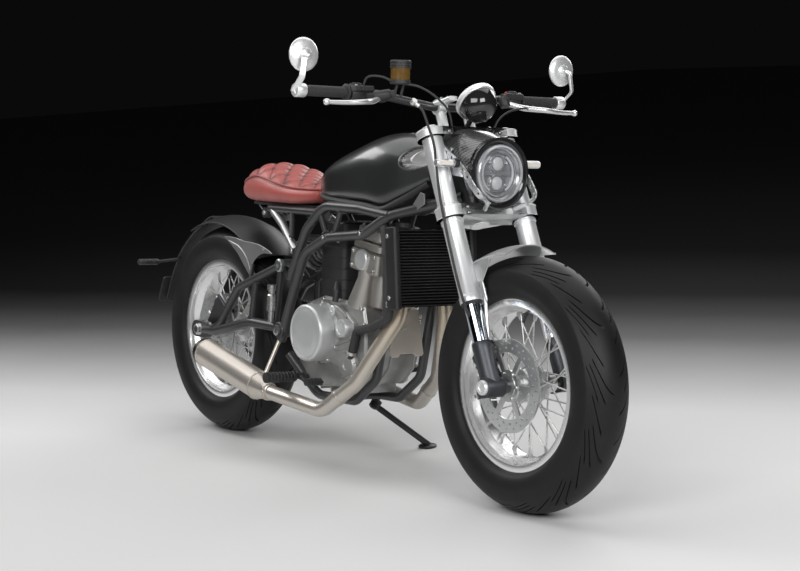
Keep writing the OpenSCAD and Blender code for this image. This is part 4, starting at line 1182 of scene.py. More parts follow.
make("fork_yokes", both_yokes(), [YOKE_ALLOY, BRIGHT_BOLT], "steering", "yokes")


def front_axle():
    """Hollow axle with a bronze bore and silver end rings, and the caliper on its plate."""
    centre = np.array([WHEELBASE, 0, AXLE_Z])
    parts = [turned([(7, -148), (10, -148), (10, 148), (7, 148)], centre, [0, 1, 0], 40, 3)]
    for s in (-1, 1):
        parts.append(turned([(9.4, 0), (19, 0), (19, 6), (17, 9), (11, 9), (10.4, 6), (9.4, 6)],
                            centre + [0, s * 147, 0], [0, s, 0], 48, 1))
        parts.append(turned([(10, 40), (15, 40), (18, 44), (18, 93.6), (10, 93.6)], centre, [0, s, 0], 40, 0))
    angle = math.radians(142)
    parts += [(v, f, 2) if k == 0 else (v, f, k) for v, f, k in caliper_body(centre, 118, angle)]
    parts += caliper_tie(centre, 118, angle, -90.7)
    return parts


BRONZE = finish("bronze_bore", [(0.34, 0.22, 0.12), (0.42, 0.28, 0.15)], 1, (0.25, 0.35), 200)
make("front_axle_and_caliper", front_axle(), [AXLE_STEEL, YOKE_ALLOY, CALIPER_PAINT, BRONZE], "steering",
     "front_axle")

# ---- Front mudguard -----------------------------------------------------------------------
# A short guard rolled from brushed aluminium sheet with turned edges, on stays to the fork.

BRUSHED_SHEET = finish("brushed_sheet", [(0.78, 0.785, 0.79), (0.86, 0.865, 0.87)], 0.85, (0.28, 0.36), 120,
                       0.00002, stretch=(1, 30, 1))


def guard(x, r, half, arch, start, end, thick=3, bead=2.6, steps=72):
    """An arched sheet turned round the axle: r minus arch t^2 across, with a rolled bead."""
    t = np.linspace(-1, 1, 41)
    out = np.column_stack([r - arch * t**2, half * t])
    inner = out - [thick, 0]
    a = np.linspace(-0.2 * math.pi, 1.1 * math.pi, 9)
    roll = bead * np.column_stack([np.cos(a), np.sin(a)])
    line = np.vstack([out[1:-1], [out[-1] + [-bead, 0]] + roll[::-1] * [1, 1] * 0.0 + [[0, 0]], inner[::-1]])
    line = np.vstack([out, inner[::-1]])
    angle = np.radians(np.linspace(start, end, steps))
    grid = np.stack([line[:, 0] * np.cos(angle)[:, None], line[:, 0] * np.sin(angle)[:, None],
                     np.broadcast_to(line[:, 1], (steps, len(line)))], -1)
    parts = [skin(on_wheel(grid, x))]
    for k in (0, -1):
        edge = np.stack([out[k, 0] * np.cos(angle), out[k, 0] * np.sin(angle), np.full(steps, out[k, 1])], -1)
        parts.append(skin(carried(on_wheel(edge - [0, 0, 0], x), circle(bead, 10))))
    return parts


def front_guard():
    """The guard, its side cheeks, their screws, and the stays down the fork legs."""
    parts = guard(WHEELBASE, 351, 81, 24, 92, 128)
    cheek = []
    a = np.radians(np.linspace(101, 122, 16))
    outer = np.column_stack([328 * np.cos(a), 328 * np.sin(a)])
    low = 328 - 81 * np.sin(np.linspace(0, math.pi / 2, 16))
    inner = np.column_stack([low * np.cos(a), low * np.sin(a)])[::-1]
    for s in (-1, 1):
        cheek.append(plate(np.vstack([outer, inner]), 3, [WHEELBASE, s * 80.5, AXLE_Z], [1, 0, 0], [0, 0, 1], 0.6))
    parts += cheek
    for s in (-1, 1):
        parts.append(tube(on_fork([[14, s * 80.5, 254], [-2, s * 96, 112]]), 5))
        for z in (228, 268):
            parts += bolt(on_fork([4, s * 82, z]), [0, s, 0], 6, 5, 1)
        parts.append(plate(box_outline(30, 60, 8), 5, on_fork([6, s * 84.5, 246]), FORK_X, FORK_Z, 1))
    return parts


make("front_mudguard", front_guard(), [BRUSHED_SHEET, BRIGHT_BOLT], "steering", "front_fender")

# ---- Headlamp and its cowl ----------------------------------------------------------------
# A round lamp: pressed metal bowl, chromed bezel, two stacked projector lenses on a silvered
# mask behind clear glass. A carbon fibre cowl wraps it back to the yokes, between two drilled
# aluminium brackets that also carry the indicators.

LAMP = np.array([86, 0, 536])
LAMP_AT = on_fork(LAMP)
AHEAD = np.array([1.0, 0, 0])
MASK_SILVER = finish("lamp_mask_silver", [(0.62, 0.63, 0.65), (0.72, 0.73, 0.75)], 0.6, (0.16, 0.26), 90)


def lamp_glass():
    """Thin clear glass: mostly see-through by its alpha, a faint haze on its roughness."""
    material, add, shader, join = workbench("lamp_glass")
    haze = add("TexNoise", Vector=add("TexCoord").outputs["Object"], Scale=30.0).outputs[0]
    worn = add("MapRange", Value=haze, i1=0.3, i2=0.7, i3=0.01, i4=0.05)
    join(worn.outputs[0], shader.inputs["Roughness"])
    shader.inputs["Base Color"].default_value = (0.02, 0.02, 0.022, 1)
    shader.inputs["Alpha"].default_value = 0.16
    return material


GLASS = lamp_glass()


def headlamp():
    """Bowl, bezel, stepped mask, two projector lenses with a bar between, and side tubes."""
    def ahead(*profile, kind=0, ring=False):
        return turned(list(profile), LAMP_AT, AHEAD, 96, kind, ring)
    parts = [ahead((0, -86), (30, -85), (52, -73), (66, -50), (68, -18), (70, -14), (70, -6),
                   (67, -5), (60.4, -11), (58.4, -19), (0, -21)),
             ahead((70, -8), (73.5, -8), (74.5, -2), (74, 3), (71, 6.5), (67.5, 6), (66.5, 2), (66.5, -6),
                   kind=1, ring=True),
             ahead((0, -19), (58.4, -17), (60.4, -9), (66.6, -3), (66.6, -2), (60, -8), (58, -16), (0, -18), kind=2),
             ahead((58, -10), (59.5, -6), (56, -5), (54, -12), kind=1, ring=True)]
    for z in (-25, 25):
        at = LAMP_AT + [-17, 0, z]
        parts.append(turned([(0, 0), (23, 0), (23, 6), (21.5, 8), (19, 8), (18, 3), (0, 3)], at, AHEAD, 48, 1))
        parts.append(turned([(18, 3), (17, 7), (12, 10.5), (6, 12), (0, 12.4)], at, AHEAD, 48, 3))
    parts.append(plate(box_outline(96, 9, 3), 8, LAMP_AT + [-13, 0, 0], [0, 1, 0], [0, 0, 1], 1.5, 1))
    for s in (-1, 1):
        a = np.radians(np.linspace(-58, 58, 24))
        line = LAMP_AT + np.column_stack([np.full(24, -9.0), s * 50 * np.cos(a), 50 * np.sin(a)])
        parts.append(skin(carried(line, circle(3.2, 10)), finish=3))
        for k in range(3):
            b = math.radians(-46 + 46 * k)
            at = LAMP_AT + [-15, s * 40 * math.cos(b), 40 * math.sin(b)]
            parts.append(turned([(0, 0), (5.5, 0), (5.5, 3), (4, 5), (0, 2)], at, AHEAD, 16, 1))
    return parts


WHITE_LENS = finish("white_light_guide", [(0.78, 0.80, 0.82), (0.86, 0.88, 0.9)], 0.0, (0.05, 0.12), 60)
BLACK_GLOSS = finish("black_gloss_shell", [(0.012, 0.012, 0.013), (0.018, 0.018, 0.019)], 0, (0.07, 0.14), 60, coat=0.6)
make("headlamp_body", headlamp(), [BLACK_GLOSS, MASK_SILVER, MASK_SILVER, WHITE_LENS], "steering", "headlamp")
make("headlamp_glass", [turned([(66.4, 0), (66.4, 2.2), (52, 4.6), (30, 5.6), (0, 5.9), (0, 4.1), (30, 3.8),
                                (52, 2.6), (64, 0)], LAMP_AT, AHEAD, 96, ring=True)],
     GLASS, "steering", ())


def carbon_weave():
    """Twill of carbon tows under lacquer: two square waves across each other pick the tow
    that lies on top, and each tow's own wave rounds its tone and roughness; the lighter tone on the top tows and across
    each tow's middle is a painted sheen, the twill itself a pattern."""
    material, add, shader, join = workbench("carbon_weave")
    uv = add("Attribute", {"attribute_name": "u"}).outputs["Fac"]
    vv = add("Attribute", {"attribute_name": "v"}).outputs["Fac"]
    both = add("Math", {"operation": "ADD"}, i0=uv, i1=vv).outputs[0]
    step = add("Math", {"operation": "PINGPONG"}, i0=both, i1=1.0).outputs[0]
    over = add("Math", {"operation": "GREATER_THAN"}, i0=step, i1=0.5).outputs[0]
    su = add("Math", {"operation": "PINGPONG"}, i0=uv, i1=0.5).outputs[0]
    sv = add("Math", {"operation": "PINGPONG"}, i0=vv, i1=0.5).outputs[0]
    keep = add("Math", {"operation": "SUBTRACT"}, i0=1.0, i1=over).outputs[0]
    a = add("Math", {"operation": "MULTIPLY"}, i0=su, i1=over).outputs[0]
    tow = add("Math", {"operation": "MULTIPLY_ADD"}, i0=sv, i1=keep, i2=a).outputs[0]
    tone = add("Math", {"operation": "MULTIPLY_ADD"}, i0=over, i1=0.4, i2=tow).outputs[0]
    # Painted sheen: the ramp lightens the tows on top and each tow's middle; the weave layout is the real pattern.
    join(ramp(add, tone, [(0.05, (0.016, 0.016, 0.017)), (0.85, (0.15, 0.152, 0.155))]), shader.inputs["Base Color"])
    worn = add("MapRange", Value=tone, i1=0.0, i2=1.0, i3=0.24, i4=0.38)
    join(worn.outputs[0], shader.inputs["Roughness"])
    shader.inputs["Metallic"].default_value = 0.35
    shader.inputs["Coat Weight"].default_value = 1
    shader.inputs["Coat Roughness"].default_value = 0.14
    return material


CARBON = carbon_weave()


def lamp_cowl():
    """A shell lofted from an arch over the upper yoke, whose foot follows the drilled strips,
    to a ring round the lamp; an inner copy gives it its wall."""
    n, m = 26, 71
    s = np.linspace(0, 1, n)[:, None]
    a = np.radians(np.linspace(-42, 222, m))
    c, up = np.cos(a), np.sin(a)
    tall = 868 + np.where(up > 0, 92, 104) * np.sign(up) * np.abs(up) ** 0.85
    deep = np.interp(tall, [790, 841, 871, 897, 920, 962], [1266, 1258, 1238, 1198, 1176, 1168])
    back = np.stack([deep, 92 * np.sign(c) * np.abs(c) ** 0.75, tall], -1)
    front = np.stack([np.full(m, LAMP_AT[0] - 16), 92 * c, LAMP_AT[2] + 92 * up], -1)
    round_out = np.stack([0 * a, c, up], -1)
    grid = back * (1 - s[..., None]) + front * s[..., None] + 4 * np.sin(s * math.pi)[..., None] * round_out
    inner = grid - 2.4 * round_out
    loop = np.concatenate([grid, inner[:, ::-1]], 1)
    v, f, k = skin(loop)
    along = np.broadcast_to(s * 110 / 6, (n, m))
    turn = np.broadcast_to(a[None] * 92 / 6, (n, m))
    ring = turned([(74.8, -16), (86, -14), (92, -8), (93.6, -1), (92.6, 3), (88, 4), (84, -3), (76, -6),
                   (74.8, -8)], LAMP_AT, AHEAD, 96, 1, ring=True)
    flat = np.zeros(len(ring[0]))
    marks = {"u": np.concatenate([np.concatenate([along, along[:, ::-1]], 1).ravel(), flat]),
             "v": np.concatenate([np.concatenate([turn, turn[:, ::-1]], 1).ravel(), flat])}
    screws = []
    for x, z in ((1212, 905), (1262, 862)):
        for side in (-1, 1):
            screws += bolt([x, side * 92, z], [0, side, 0], 5, 4, 2)
    for name in marks:
        marks[name] = np.concatenate([marks[name], np.zeros(sum(len(p[0]) for p in screws))])
    return [(v, f, k), ring, *screws], marks


cowl_parts, cowl_marks = lamp_cowl()
make("lamp_cowl", cowl_parts, [CARBON, BLACK_GLOSS, BRIGHT_BOLT], "steering", "nacelle", marks=cowl_marks)

BRACKET_ALLOY = finish("drilled_bracket_alloy", [(0.70, 0.71, 0.72), (0.78, 0.79, 0.80)], 0.8, (0.28, 0.36), 200)


def drilled_strip(line, width, thick, holes, finish=0):
    """A strip along a flow line with a round hole in each cell: a grid in polar form whose
    outer ring is the cell's square edge and whose inner ring is the hole."""
    path = flow(line, 200)
    run = np.concatenate([[0], np.cumsum(np.linalg.norm(np.diff(path, axis=0), axis=1))])
    cell = run[-1] / holes
    a = (np.arange(32) + 0.5) * 2 * math.pi / 32
    ray = np.column_stack([np.cos(a), np.sin(a)])
    square = ray / np.max(np.abs(ray), axis=1, keepdims=True) * [cell / 2, width / 2]
    rings = [(ray * width * 0.24, -1), (ray * width * 0.24, 1), (ray * width * 0.30, 1), (square, 1),
             (square, -1), (ray * width * 0.30, -1)]
    slope = unit(np.gradient(path, axis=0))
    parts = []
    for k in range(holes):
        grid = []
        for ring, side in rings:
            s = np.clip(ring[:, 0] + (k + 0.5) * cell, 0, run[-1])
            base = np.column_stack([np.interp(s, run, path[:, c]) for c in range(3)])
            way = unit(np.column_stack([np.interp(s, run, slope[:, c]) for c in range(3)]))
            across = unit(np.cross(way, [0, 1, 0]))
            grid.append(base + ring[:, 1:] * across + side * thick / 2 * np.cross(across, way))
        v, f, _ = skin(np.array(grid), closed=True, caps=False)
        parts.append((on_fork(v), f, finish))
    return parts


def lamp_bracket():
    """One drilled strip from yoke to yoke, the leaf under it, and the indicator on its post."""
    line = [[-20, -92, 712], [-2, -97, 657], [18, -97, 622], [49, -98, 579], [72, -98, 536], [84, -97, 500],
            [94, -88, 470], [88, -62, 452]]
    parts = drilled_strip(line, 18, 4, 11)
    leaf = [[-30, 640], [4, 650], [26, 610], [58, 566], [50, 540], [14, 560], [-16, 600]]
    parts.append(plate(np.array(leaf), 3, on_fork([0, -91, 0]), FORK_X, FORK_Z, 0.6))
    parts.append(tube(on_fork([[86, -64, 454], [52, -48, 452]]), 6, 10, 16))
    for x, z in ((6, 640), (66, 548)):
        parts += bolt(on_fork([x, -99, z]), [0, -1, 0], 6, 4, 1)
    post = on_fork([52, -100, 578])
    parts.append(turned([(0, 0), (11, 0), (12, 2), (12, 10), (9, 14), (0, 14)], post, [0, -1, 0], 32, 3))
    parts.append(turned([(0, 12), (9, 12), (10, 14), (10, 30), (9.4, 31), (9.4, 33), (10, 34), (10, 66), (8, 70),
                         (0, 70)], post, [0, -1, 0], 36))
    parts.append(plate(box_outline(46, 12, 3), 3, post + [9.6, -44, 0], [0, 1, 0], [0, 0, 1], 0.8, 2))
    return parts


AMBER = finish("clear_amber_lens", [(0.74, 0.70, 0.64), (0.82, 0.78, 0.72)], 0, (0.06, 0.14), 90, coat=0.5)
make("lamp_brackets_drilled", mirrored(lamp_bracket()), [BRACKET_ALLOY, BRIGHT_BOLT, AMBER, BLACK_BOLT], "steering",
     "lamp_brackets")

# ---- Handlebar and controls ---------------------------------------------------------------
# A one inch steel bar, satin grey, in two machined risers. Ribbed rubber grips, black cast
# switch housings, polished forged levers with ball ends, an amber brake fluid reservoir on
# the right and round bar mirrors on flat bent stems.

BAR_PAINT = finish("bar_satin_grey", [(0.040, 0.041, 0.043), (0.055, 0.056, 0.058)], 0.6, (0.28, 0.4), 600)
BAR_R, BAR_HALF, GRIP_LEN, GRIP_X, GRIP_Z = 11, 432, 130, -88, 831
BAR_MID = np.array([-30, 0, 772])


def bar():
    """The bar's tube, two risers with their caps and screws."""
    right = [BAR_MID, BAR_MID + [0, -70, 0], [GRIP_X, -196, GRIP_Z], [GRIP_X, -BAR_HALF, GRIP_Z]]
    left = [[p[0], -p[1], p[2]] for p in right]
    parts = [tube(on_fork(np.array(right, float)), BAR_R, 60, 28), tube(on_fork(np.array(left, float)), BAR_R, 60, 28)]
    for s in (-1, 1):
        foot, top = on_fork([[-34, s * 45, 686], [-31, s * 45, 764]])
        parts.append(turned([(0, 0), (17, 0), (18, 3), (18, 12), (14, 18), (14, 72), (0, 76)], foot, top - foot, 40, 1))
        mid = on_fork(BAR_MID + [0, s * 45, 0])
        parts.append(turned([(10.8, -13), (19, -13), (20, -12), (20, 12), (19, 13), (10.8, 13)], mid, [0, 1, 0], 48, 1))
        for dx in (-15, 15):
            parts += bolt(on_fork(BAR_MID + [dx, s * 45, 15]), FORK_Z, 4.5, 6, 2)
    return parts


make("bar_and_risers", bar(), [BAR_PAINT, YOKE_ALLOY, BRIGHT_BOLT], "steering", "handlebar")


def controls(s):
    """Grip with 26 ribs and a bar end, switch housing with buttons, lever and perch."""
    def at(x, y, z):
        return on_fork([x, s * y, z])
    out = [0, s, 0]
    start = at(GRIP_X, BAR_HALF - GRIP_LEN - 12, GRIP_Z)
    d = np.linspace(4, GRIP_LEN - 6, 158)
    r = 13.6 + 0.6 * np.sign(np.sin(d * 2 * math.pi / 4.8)) * (np.abs(d - 64) < 50)
    profile = [(11.1, -3), (20, -3), (22, -1), (22, 2), (18, 4)] + list(zip(r, d)) + [(14.2, GRIP_LEN - 3), (13, GRIP_LEN), (11.1, GRIP_LEN)]
    parts = [turned(profile, start, out, 32)]
    box = at(GRIP_X, BAR_HALF - GRIP_LEN - 60 + 19, GRIP_Z)
    parts.append(turned([(11.1, -20), (19, -20), (21, -17), (21, 17), (19, 20), (11.1, 20)], box, out, 32, 1))
    parts.append(plate(box_outline(30, 34, 5), 12, box + FORK_Z * 16, [0, 1, 0], FORK_X, 2, 1))
    for k, (dy, kind) in enumerate(((-8, 4), (6, 5 if s > 0 else 1))):
        parts.append(turned([(0, 0), (4.6, 0), (4.6, 5), (3.4, 6.4), (0, 6.6)], box + FORK_Z * 21 + [0, s * dy, 0] - FORK_X * 4,
                            FORK_Z, 20, kind))
    parts.append(turned([(11.1, -9), (17, -9), (18, -7), (18, 7), (17, 9), (11.1, 9)], at(GRIP_X, 236, GRIP_Z), out, 32, 1))
    perch = at(GRIP_X + 20, 252, GRIP_Z)
    parts.append(plate(np.array([[-30, -14], [26, -12], [34, 0], [26, 10], [-30, 12]]), 14, perch, [0, s, 0], FORK_X, 2, 1))
    parts += bolt(perch + FORK_Z * 7 + [0, s * 20, 0] + FORK_X * 4, FORK_Z, 5, 4, 2)
    line = flow([at(GRIP_X + 34, 204, GRIP_Z - 24), at(-35, 250, 784), at(-6, 300, 766), at(-10, 350, 764),
                 at(-14, 400, 765), at(-15, 411, 766)], 60)
    blade = circle(1, 20) * [7.0, 6.6]
    width = np.interp(np.linspace(0, 1, 60), [0, 0.2, 0.5, 0.85, 1], [0.9, 1.15, 0.95, 0.75, 0.55])
    parts.append(skin(carried(line, blade, width), finish=3))
    parts.append(turned([(0, -12), (13, -12), (14, -10), (14, 10), (12, 12), (0, 12)], at(GRIP_X + 34, 204, GRIP_Z - 24),
                        FORK_Z, 32, 1))
    parts.append(tube([at(GRIP_X, 236, GRIP_Z), at(GRIP_X + 34, 206, GRIP_Z - 22)], 10, 10, 16, 1))
    a = np.linspace(0, math.pi, 13)
    ball = np.column_stack([8.6 * np.sin(a), -8.6 * np.cos(a)])
    parts.append(turned(ball, line[-1], line[-1] - line[-4], 24, 3))
    return parts


LEVER_ALLOY = finish("polished_lever", [(0.74, 0.74, 0.74), (0.82, 0.82, 0.82)], 0.8, (0.28, 0.36), 150)
RED_BUTTON = finish("red_button", [(0.42, 0.02, 0.02), (0.52, 0.03, 0.03)], 0, (0.28, 0.4), 90)
YELLOW_BUTTON = finish("yellow_button", [(0.65, 0.42, 0.04), (0.72, 0.5, 0.06)], 0, (0.28, 0.4), 90)
AMBER_POT = finish("amber_reservoir", [(0.10, 0.055, 0.014), (0.15, 0.085, 0.022)], 0, (0.08, 0.16), 60, coat=0.5)


def reservoir():
    """Master cylinder by the lever, and on its post a round pot with a finned lid."""
    foot = np.array([1127, -200, 1068])
    up = [0, 0, 1]
    parts = [turned([(0, -2), (24, -2), (26.6, 1), (26.6, 9), (0, 9)], foot, up, 48, 1),
             turned([(0, 8), (25, 8), (25, 22), (26, 22), (26, 25), (25, 25), (25, 40), (0, 40)], foot, up, 48, 6),
             turned([(0, 39), (27, 39), (27, 43), (25.6, 43.6), (25.6, 45.4), (27, 46), (27, 49.6), (25.6, 50.2),
                     (25.6, 52), (27, 52.6), (27, 57), (25, 59), (0, 59)], foot, up, 48, 1)]
    for dy in (-10, 10):
        parts.append(tube([foot + [2, dy, 0], foot + [-10, dy, -34]], 3.4, 10, 16, 1))
    barrel = on_fork([[-52, -232, 806], [-16, -188, 800]])
    parts.append(turned([(0, 0), (11, 0), (13, 3), (13, 40), (11, 44), (9, 44), (9, 56), (0, 56)], barrel[0],
                        barrel[1] - barrel[0], 32, 1))
    return parts


grips = controls(-1) + controls(1) + reservoir()
make("grips_levers_and_switches", grips,
     [BLACK_RUBBER, BLACK_PLASTIC, BRIGHT_BOLT, LEVER_ALLOY, RED_BUTTON, YELLOW_BUTTON, AMBER_POT], "steering",
     "bar_controls")

MIRROR_ALLOY = finish("brushed_mirror_alloy", [(0.84, 0.845, 0.85), (0.90, 0.905, 0.91)], 0.7, (0.34, 0.42), 180)
MIRROR_GLASS = finish("mirror_glass", [(0.90, 0.91, 0.92), (0.93, 0.94, 0.95)], 1, (0.0, 0.03), 40)


def bar_mirror(s):
    """A domed round head with a turned step, its glass behind, on a flat stem that is bent
    twice and clamped round the bar's end."""
    head = np.array([1030, s * 429, 1132])
    stem = rounded([head + [12, 0, 0], head + [20, s * 12, -6], head + [22, s * 20, -58], [1010, s * 446, 1040]], 16)
    parts = [skin(carried(stem, box_outline(7, 16, 2.4)))]
    parts.append(turned([(0, 6.5), (12, 6.4), (15, 5.6), (28, 4.4), (38, 1.6), (42, -1.2), (43.4, -3.6), (43.4, -5.2),
                         (42, -6.4), (40, -6.4), (40, -5.6), (0, -5.6)], head, AHEAD, 72))
    parts.append(turned([(0, -5.9), (39.6, -5.9), (39.6, -5.4), (0, -5.4)], head, AHEAD, 64, 1))
    parts.append(turned([(0, 5), (17, 5), (17, 8), (13, 11), (0, 12)], head, AHEAD, 40))
    parts += bolt(head + [11.6, 0, 0], AHEAD, 5, 3, 2)
    end = on_fork([GRIP_X, s * (BAR_HALF - 2), GRIP_Z])
    parts.append(turned([(11.2, -12), (17, -12), (18, -10), (18, 14), (16, 17), (0, 17)], end, [0, s, 0], 40))
    parts.append(skin(carried(np.array([end + [0, s * 4, 0], [1010, s * 446, 1040]]), box_outline(22, 16, 5))))
    return parts


make("bar_mirrors", bar_mirror(-1) + bar_mirror(1), [MIRROR_ALLOY, MIRROR_GLASS, BRIGHT_BOLT], "steering", "mirrors")

# ---- Cables -------------------------------------------------------------------------------
# The brake hose runs from the master cylinder down the right fork leg to the caliper. The
# throttle and clutch cables arch from the switches and go down behind the gauge. All of them
# are held at both ends and turn with the bar.

BRAKE_HOSE = [
    [1170, -187, 1022], [1184, -168, 1000], [1190, -152, 958], [1200, -142, 918], [1226, -152, 868], [1262, -160, 770],
    [1330, -166, 620], [1362, -152, 520], [1366, -112, 440],
]
THROTTLE_CABLE = [
    [1048, -262, 1050], [1064, -258, 1082], [1096, -236, 1084], [1128, -214, 1070], [1158, -166, 1062],
    [1174, -122, 1038], [1182, -84, 1002], [1180, -66, 950],
]
CLUTCH_CABLE = [[1112, 240, 1020], [1148, 196, 1020], [1166, 130, 1008], [1176, 88, 985], [1178, 66, 950]]


def cables():
    """Circles carried along flow lines, with a bright banjo and ferrules at the hose's ends."""
    hose = flow(BRAKE_HOSE, 110)
    parts = [skin(carried(hose, circle(3.4, 14))), skin(carried(flow(THROTTLE_CABLE, 90), circle(2.8, 14))),
             skin(carried(flow(CLUTCH_CABLE, 70), circle(2.8, 14)))]
    for at, nxt in ((hose[0], hose[4]), (hose[-1], hose[-5])):
        way = nxt - at
        parts.append(turned([(0, -3), (4.6, -3), (4.6, 16), (4, 18), (0, 18)], at, way, 20, 1))
        parts.append(turned([(0, -6), (7.6, -6), (7.6, 6), (0, 6)], at, axes(way)[0], 24, 1))
    return parts


make("hose_and_cables", cables(), [BLACK_RUBBER, BRIGHT_BOLT], "steering", ())

# ---- Gauge --------------------------------------------------------------------------------
# One round instrument in a deep black bowl with a polished ring, on a machined stalk. Its
# dial has plain ticks and one needle.

GAUGE_AT = np.array([1196, 0, 1024])
GAUGE_UP = np.array([-math.sin(math.radians(52)), 0, math.cos(math.radians(52))])
DIAL_WHITE = finish("dial_marks", [(0.72, 0.72, 0.70), (0.78, 0.78, 0.76)], 0, (0.4, 0.5), 60)


def gauge():
    """Bowl turned as a dome, its ring, the recessed dial with ticks on a circle, a needle."""
    parts = [turned([(0, -47), (14, -46), (27, -41.5), (38, -33), (45.6, -22), (49.6, -9), (51, 3), (51, 10),
                     (46, 11), (46, 6), (0, 6)], GAUGE_AT, GAUGE_UP, 96)]
    parts.append(turned([(47, 2), (53, 2), (55, 4), (55.6, 10), (55, 17), (52.6, 19.6), (48.6, 19.6), (46.4, 17),
                         (46.4, 8)], GAUGE_AT, GAUGE_UP, 96, 1))
    x, y, z = axes(GAUGE_UP)
    for k in range(25):
        a = math.radians(-120 + 10 * k)
        way = math.cos(a) * x + math.sin(a) * y
        long = 7 if k % 3 == 0 else 4
        parts.append(plate(box_outline(long, 1.2, 0.3, 2), 0.6, GAUGE_AT + way * (38 - long / 2) + z * 8.4, way, np.cross(z, way), 0.1, 2))
    way = unit(x * 0.5 - y * 0.8)
    parts.append(plate(np.array([[-6, -1.6], [32, -0.5], [32, 0.5], [-6, 1.6]]), 0.8, GAUGE_AT + z * 10, way, np.cross(z, way), 0.1, 3))
    parts.append(turned([(0, 8), (5, 8), (5, 11), (3, 12), (0, 12)], GAUGE_AT, GAUGE_UP, 24))
    stalk = on_fork([[56, 0, 730], [-24, 0, 684]])
    parts.append(tube(stalk, 7))
    for s in (-1, 1):
        clamp = on_fork([[44, s * 55, 764], [-24, s * 56, 778]])
        parts.append(skin(carried(clamp, box_outline(12, 26, 4)), finish=4))
        parts += [(v, f, 4) for v, f, _ in bolt(on_fork([30, s * 61, 769]), [0, s, 0], 6, 4)]
    return parts


make("round_gauge", gauge(), [BLACK_GLOSS, MIRROR_ALLOY, DIAL_WHITE, RED_BUTTON, YOKE_ALLOY], "steering", "gauge")

# ---- Tank ---------------------------------------------------------------------------------
# A pressed steel tank in dark metallic grey under clear lacquer, with a rubber trim along its
# lower edge, a polished filler cap and a satin alloy scoop sunk in each shoulder.

TANK_TABLE = np.array([
    [604, 74, 776, 812], [612, 92, 766, 836], [640, 107, 760, 858], [700, 123, 755, 884], [790, 135, 751, 914],
    [880, 138, 747, 941], [952, 134, 740, 946], [1006, 120, 762, 934], [1056, 96, 792, 910], [1096, 76, 818, 884],
], float)
SCOOP_AT = np.array([1066, 886])
SCOOP_SIZE = np.array([54, 33])


def lacquered_metallic():
    """Dark grey flake paint: fine voronoi cells shade the flakes, clear coat on top."""
    material, add, shader, join = workbench("tank_paint")
    place = add("TexCoord").outputs["Object"]
    flake = add("TexVoronoi", Vector=place, Scale=1600.0)
    tone = add("SeparateColor", Color=flake.outputs["Color"]).outputs[0]
    cloud = add("TexNoise", Vector=place, Scale=5.0, Detail=3.0).outputs[0]
    mixed = add("Math", {"operation": "MULTIPLY_ADD"}, i0=tone, i1=0.35, i2=cloud).outputs[0]
    join(ramp(add, mixed, [(0.3, (0.034, 0.035, 0.036)), (0.95, (0.064, 0.066, 0.067))]), shader.inputs["Base Color"])
    worn = add("MapRange", Value=tone, i1=0.0, i2=1.0, i3=0.30, i4=0.42)
    join(worn.outputs[0], shader.inputs["Roughness"])
    shader.inputs["Metallic"].default_value = 0.7
    shader.inputs["Coat Weight"].default_value = 0.8
    shader.inputs["Coat Roughness"].default_value = 0.16
    return material


TANK_PAINT = lacquered_metallic()
POLISHED = finish("polished_alloy", [(0.80, 0.80, 0.79), (0.86, 0.86, 0.85)], 1, (0.06, 0.14), 60)


def tank_grid(n=190, m=168):
    """Sections are superellipses cos^p, sin^p, squarer below the waist; x, width, floor and
    roof flow through the table. The shoulders are pressed in inside a leaning ellipse."""
    t = flow(TANK_TABLE, n)
    a = (np.arange(m) + 0.5) * 2 * math.pi / m
    c, s = np.cos(a), np.sin(a)
    p = np.where(s > 0, 0.78, 0.36)
    waist = t[:, 2:3] + 0.42 * (t[:, 3:] - t[:, 2:3])
    y = t[:, 1:2] * np.sign(c) * np.abs(c) ** p
    tall = np.where(s > 0, t[:, 3:] - waist, waist - t[:, 2:3])
    z = waist + tall * np.sign(s) * np.abs(s) ** p
    x = np.broadcast_to(t[:, :1], y.shape)
    inside = 1 - (((x - SCOOP_AT[0]) / SCOOP_SIZE[0]) ** 2
                  + ((z - SCOOP_AT[1] - 0.25 * (x - SCOOP_AT[0])) / SCOOP_SIZE[1]) ** 2)
    inside *= np.abs(y) > 40
    y = y - np.sign(y) * 24 * np.clip(2.2 * inside, 0, 1)
    return np.stack([x, y, z], -1), inside


def tank():
    """The pressed tank, its scoops in their own finish, and the filler cap."""
    grid, inside = tank_grid()
    verts, faces, _ = skin(grid)
    sunk = inside.ravel() > 0.06
    scoop = [f for f in faces if len(f) == 4 and all(sunk[q] for q in f)]
    body = [f for f in faces if len(f) != 4 or not all(sunk[q] for q in f)]
    parts = [(verts, body, 0), (verts, scoop, 2)]
    cap = np.array([930, 0, 944.5])
    parts.append(turned([(0, -4), (37, -4), (38, -2), (38, 0.6), (34, 1.6), (0, 1.6)], cap, [0, 0, 1], 96, 1))
    return parts


make("fuel_tank", tank(), [TANK_PAINT, POLISHED, SHEET_ALLOY], "frame", "tank", crease=50)


def tank_trim():
    """A broad rubber band carried along the tank's lower edge on both sides."""
    t = flow(TANK_TABLE, 120)[4:118]
    line = np.column_stack([t[:, 0], -(t[:, 1] * 0.93 - 2), t[:, 2] - 1])
    return mirrored([skin(carried(line, box_outline(15, 17, 5)))])


make("tank_edge_trim", tank_trim(), BLACK_RUBBER, "frame", ())

# ---- Seat ---------------------------------------------------------------------------------
# A solo saddle: foam on the pan, covered in oxblood leather. The top panel is stitched in
# diamonds through the foam, the plain side panels meet it in a piped seam.

SEAT_TABLE = np.array([
    [118, 38, 26, 780], [142, 64, 12, 806], [200, 92, 3, 832], [262, 106, 0.6, 849], [320, 113, 0.6, 842],
    [400, 118, 0.6, 822], [480, 117, 0.6, 808], [560, 106, 6, 801], [590, 96, 12, 798], [600, 84, 20, 794],
], float)
SEAT_PLATE = 732


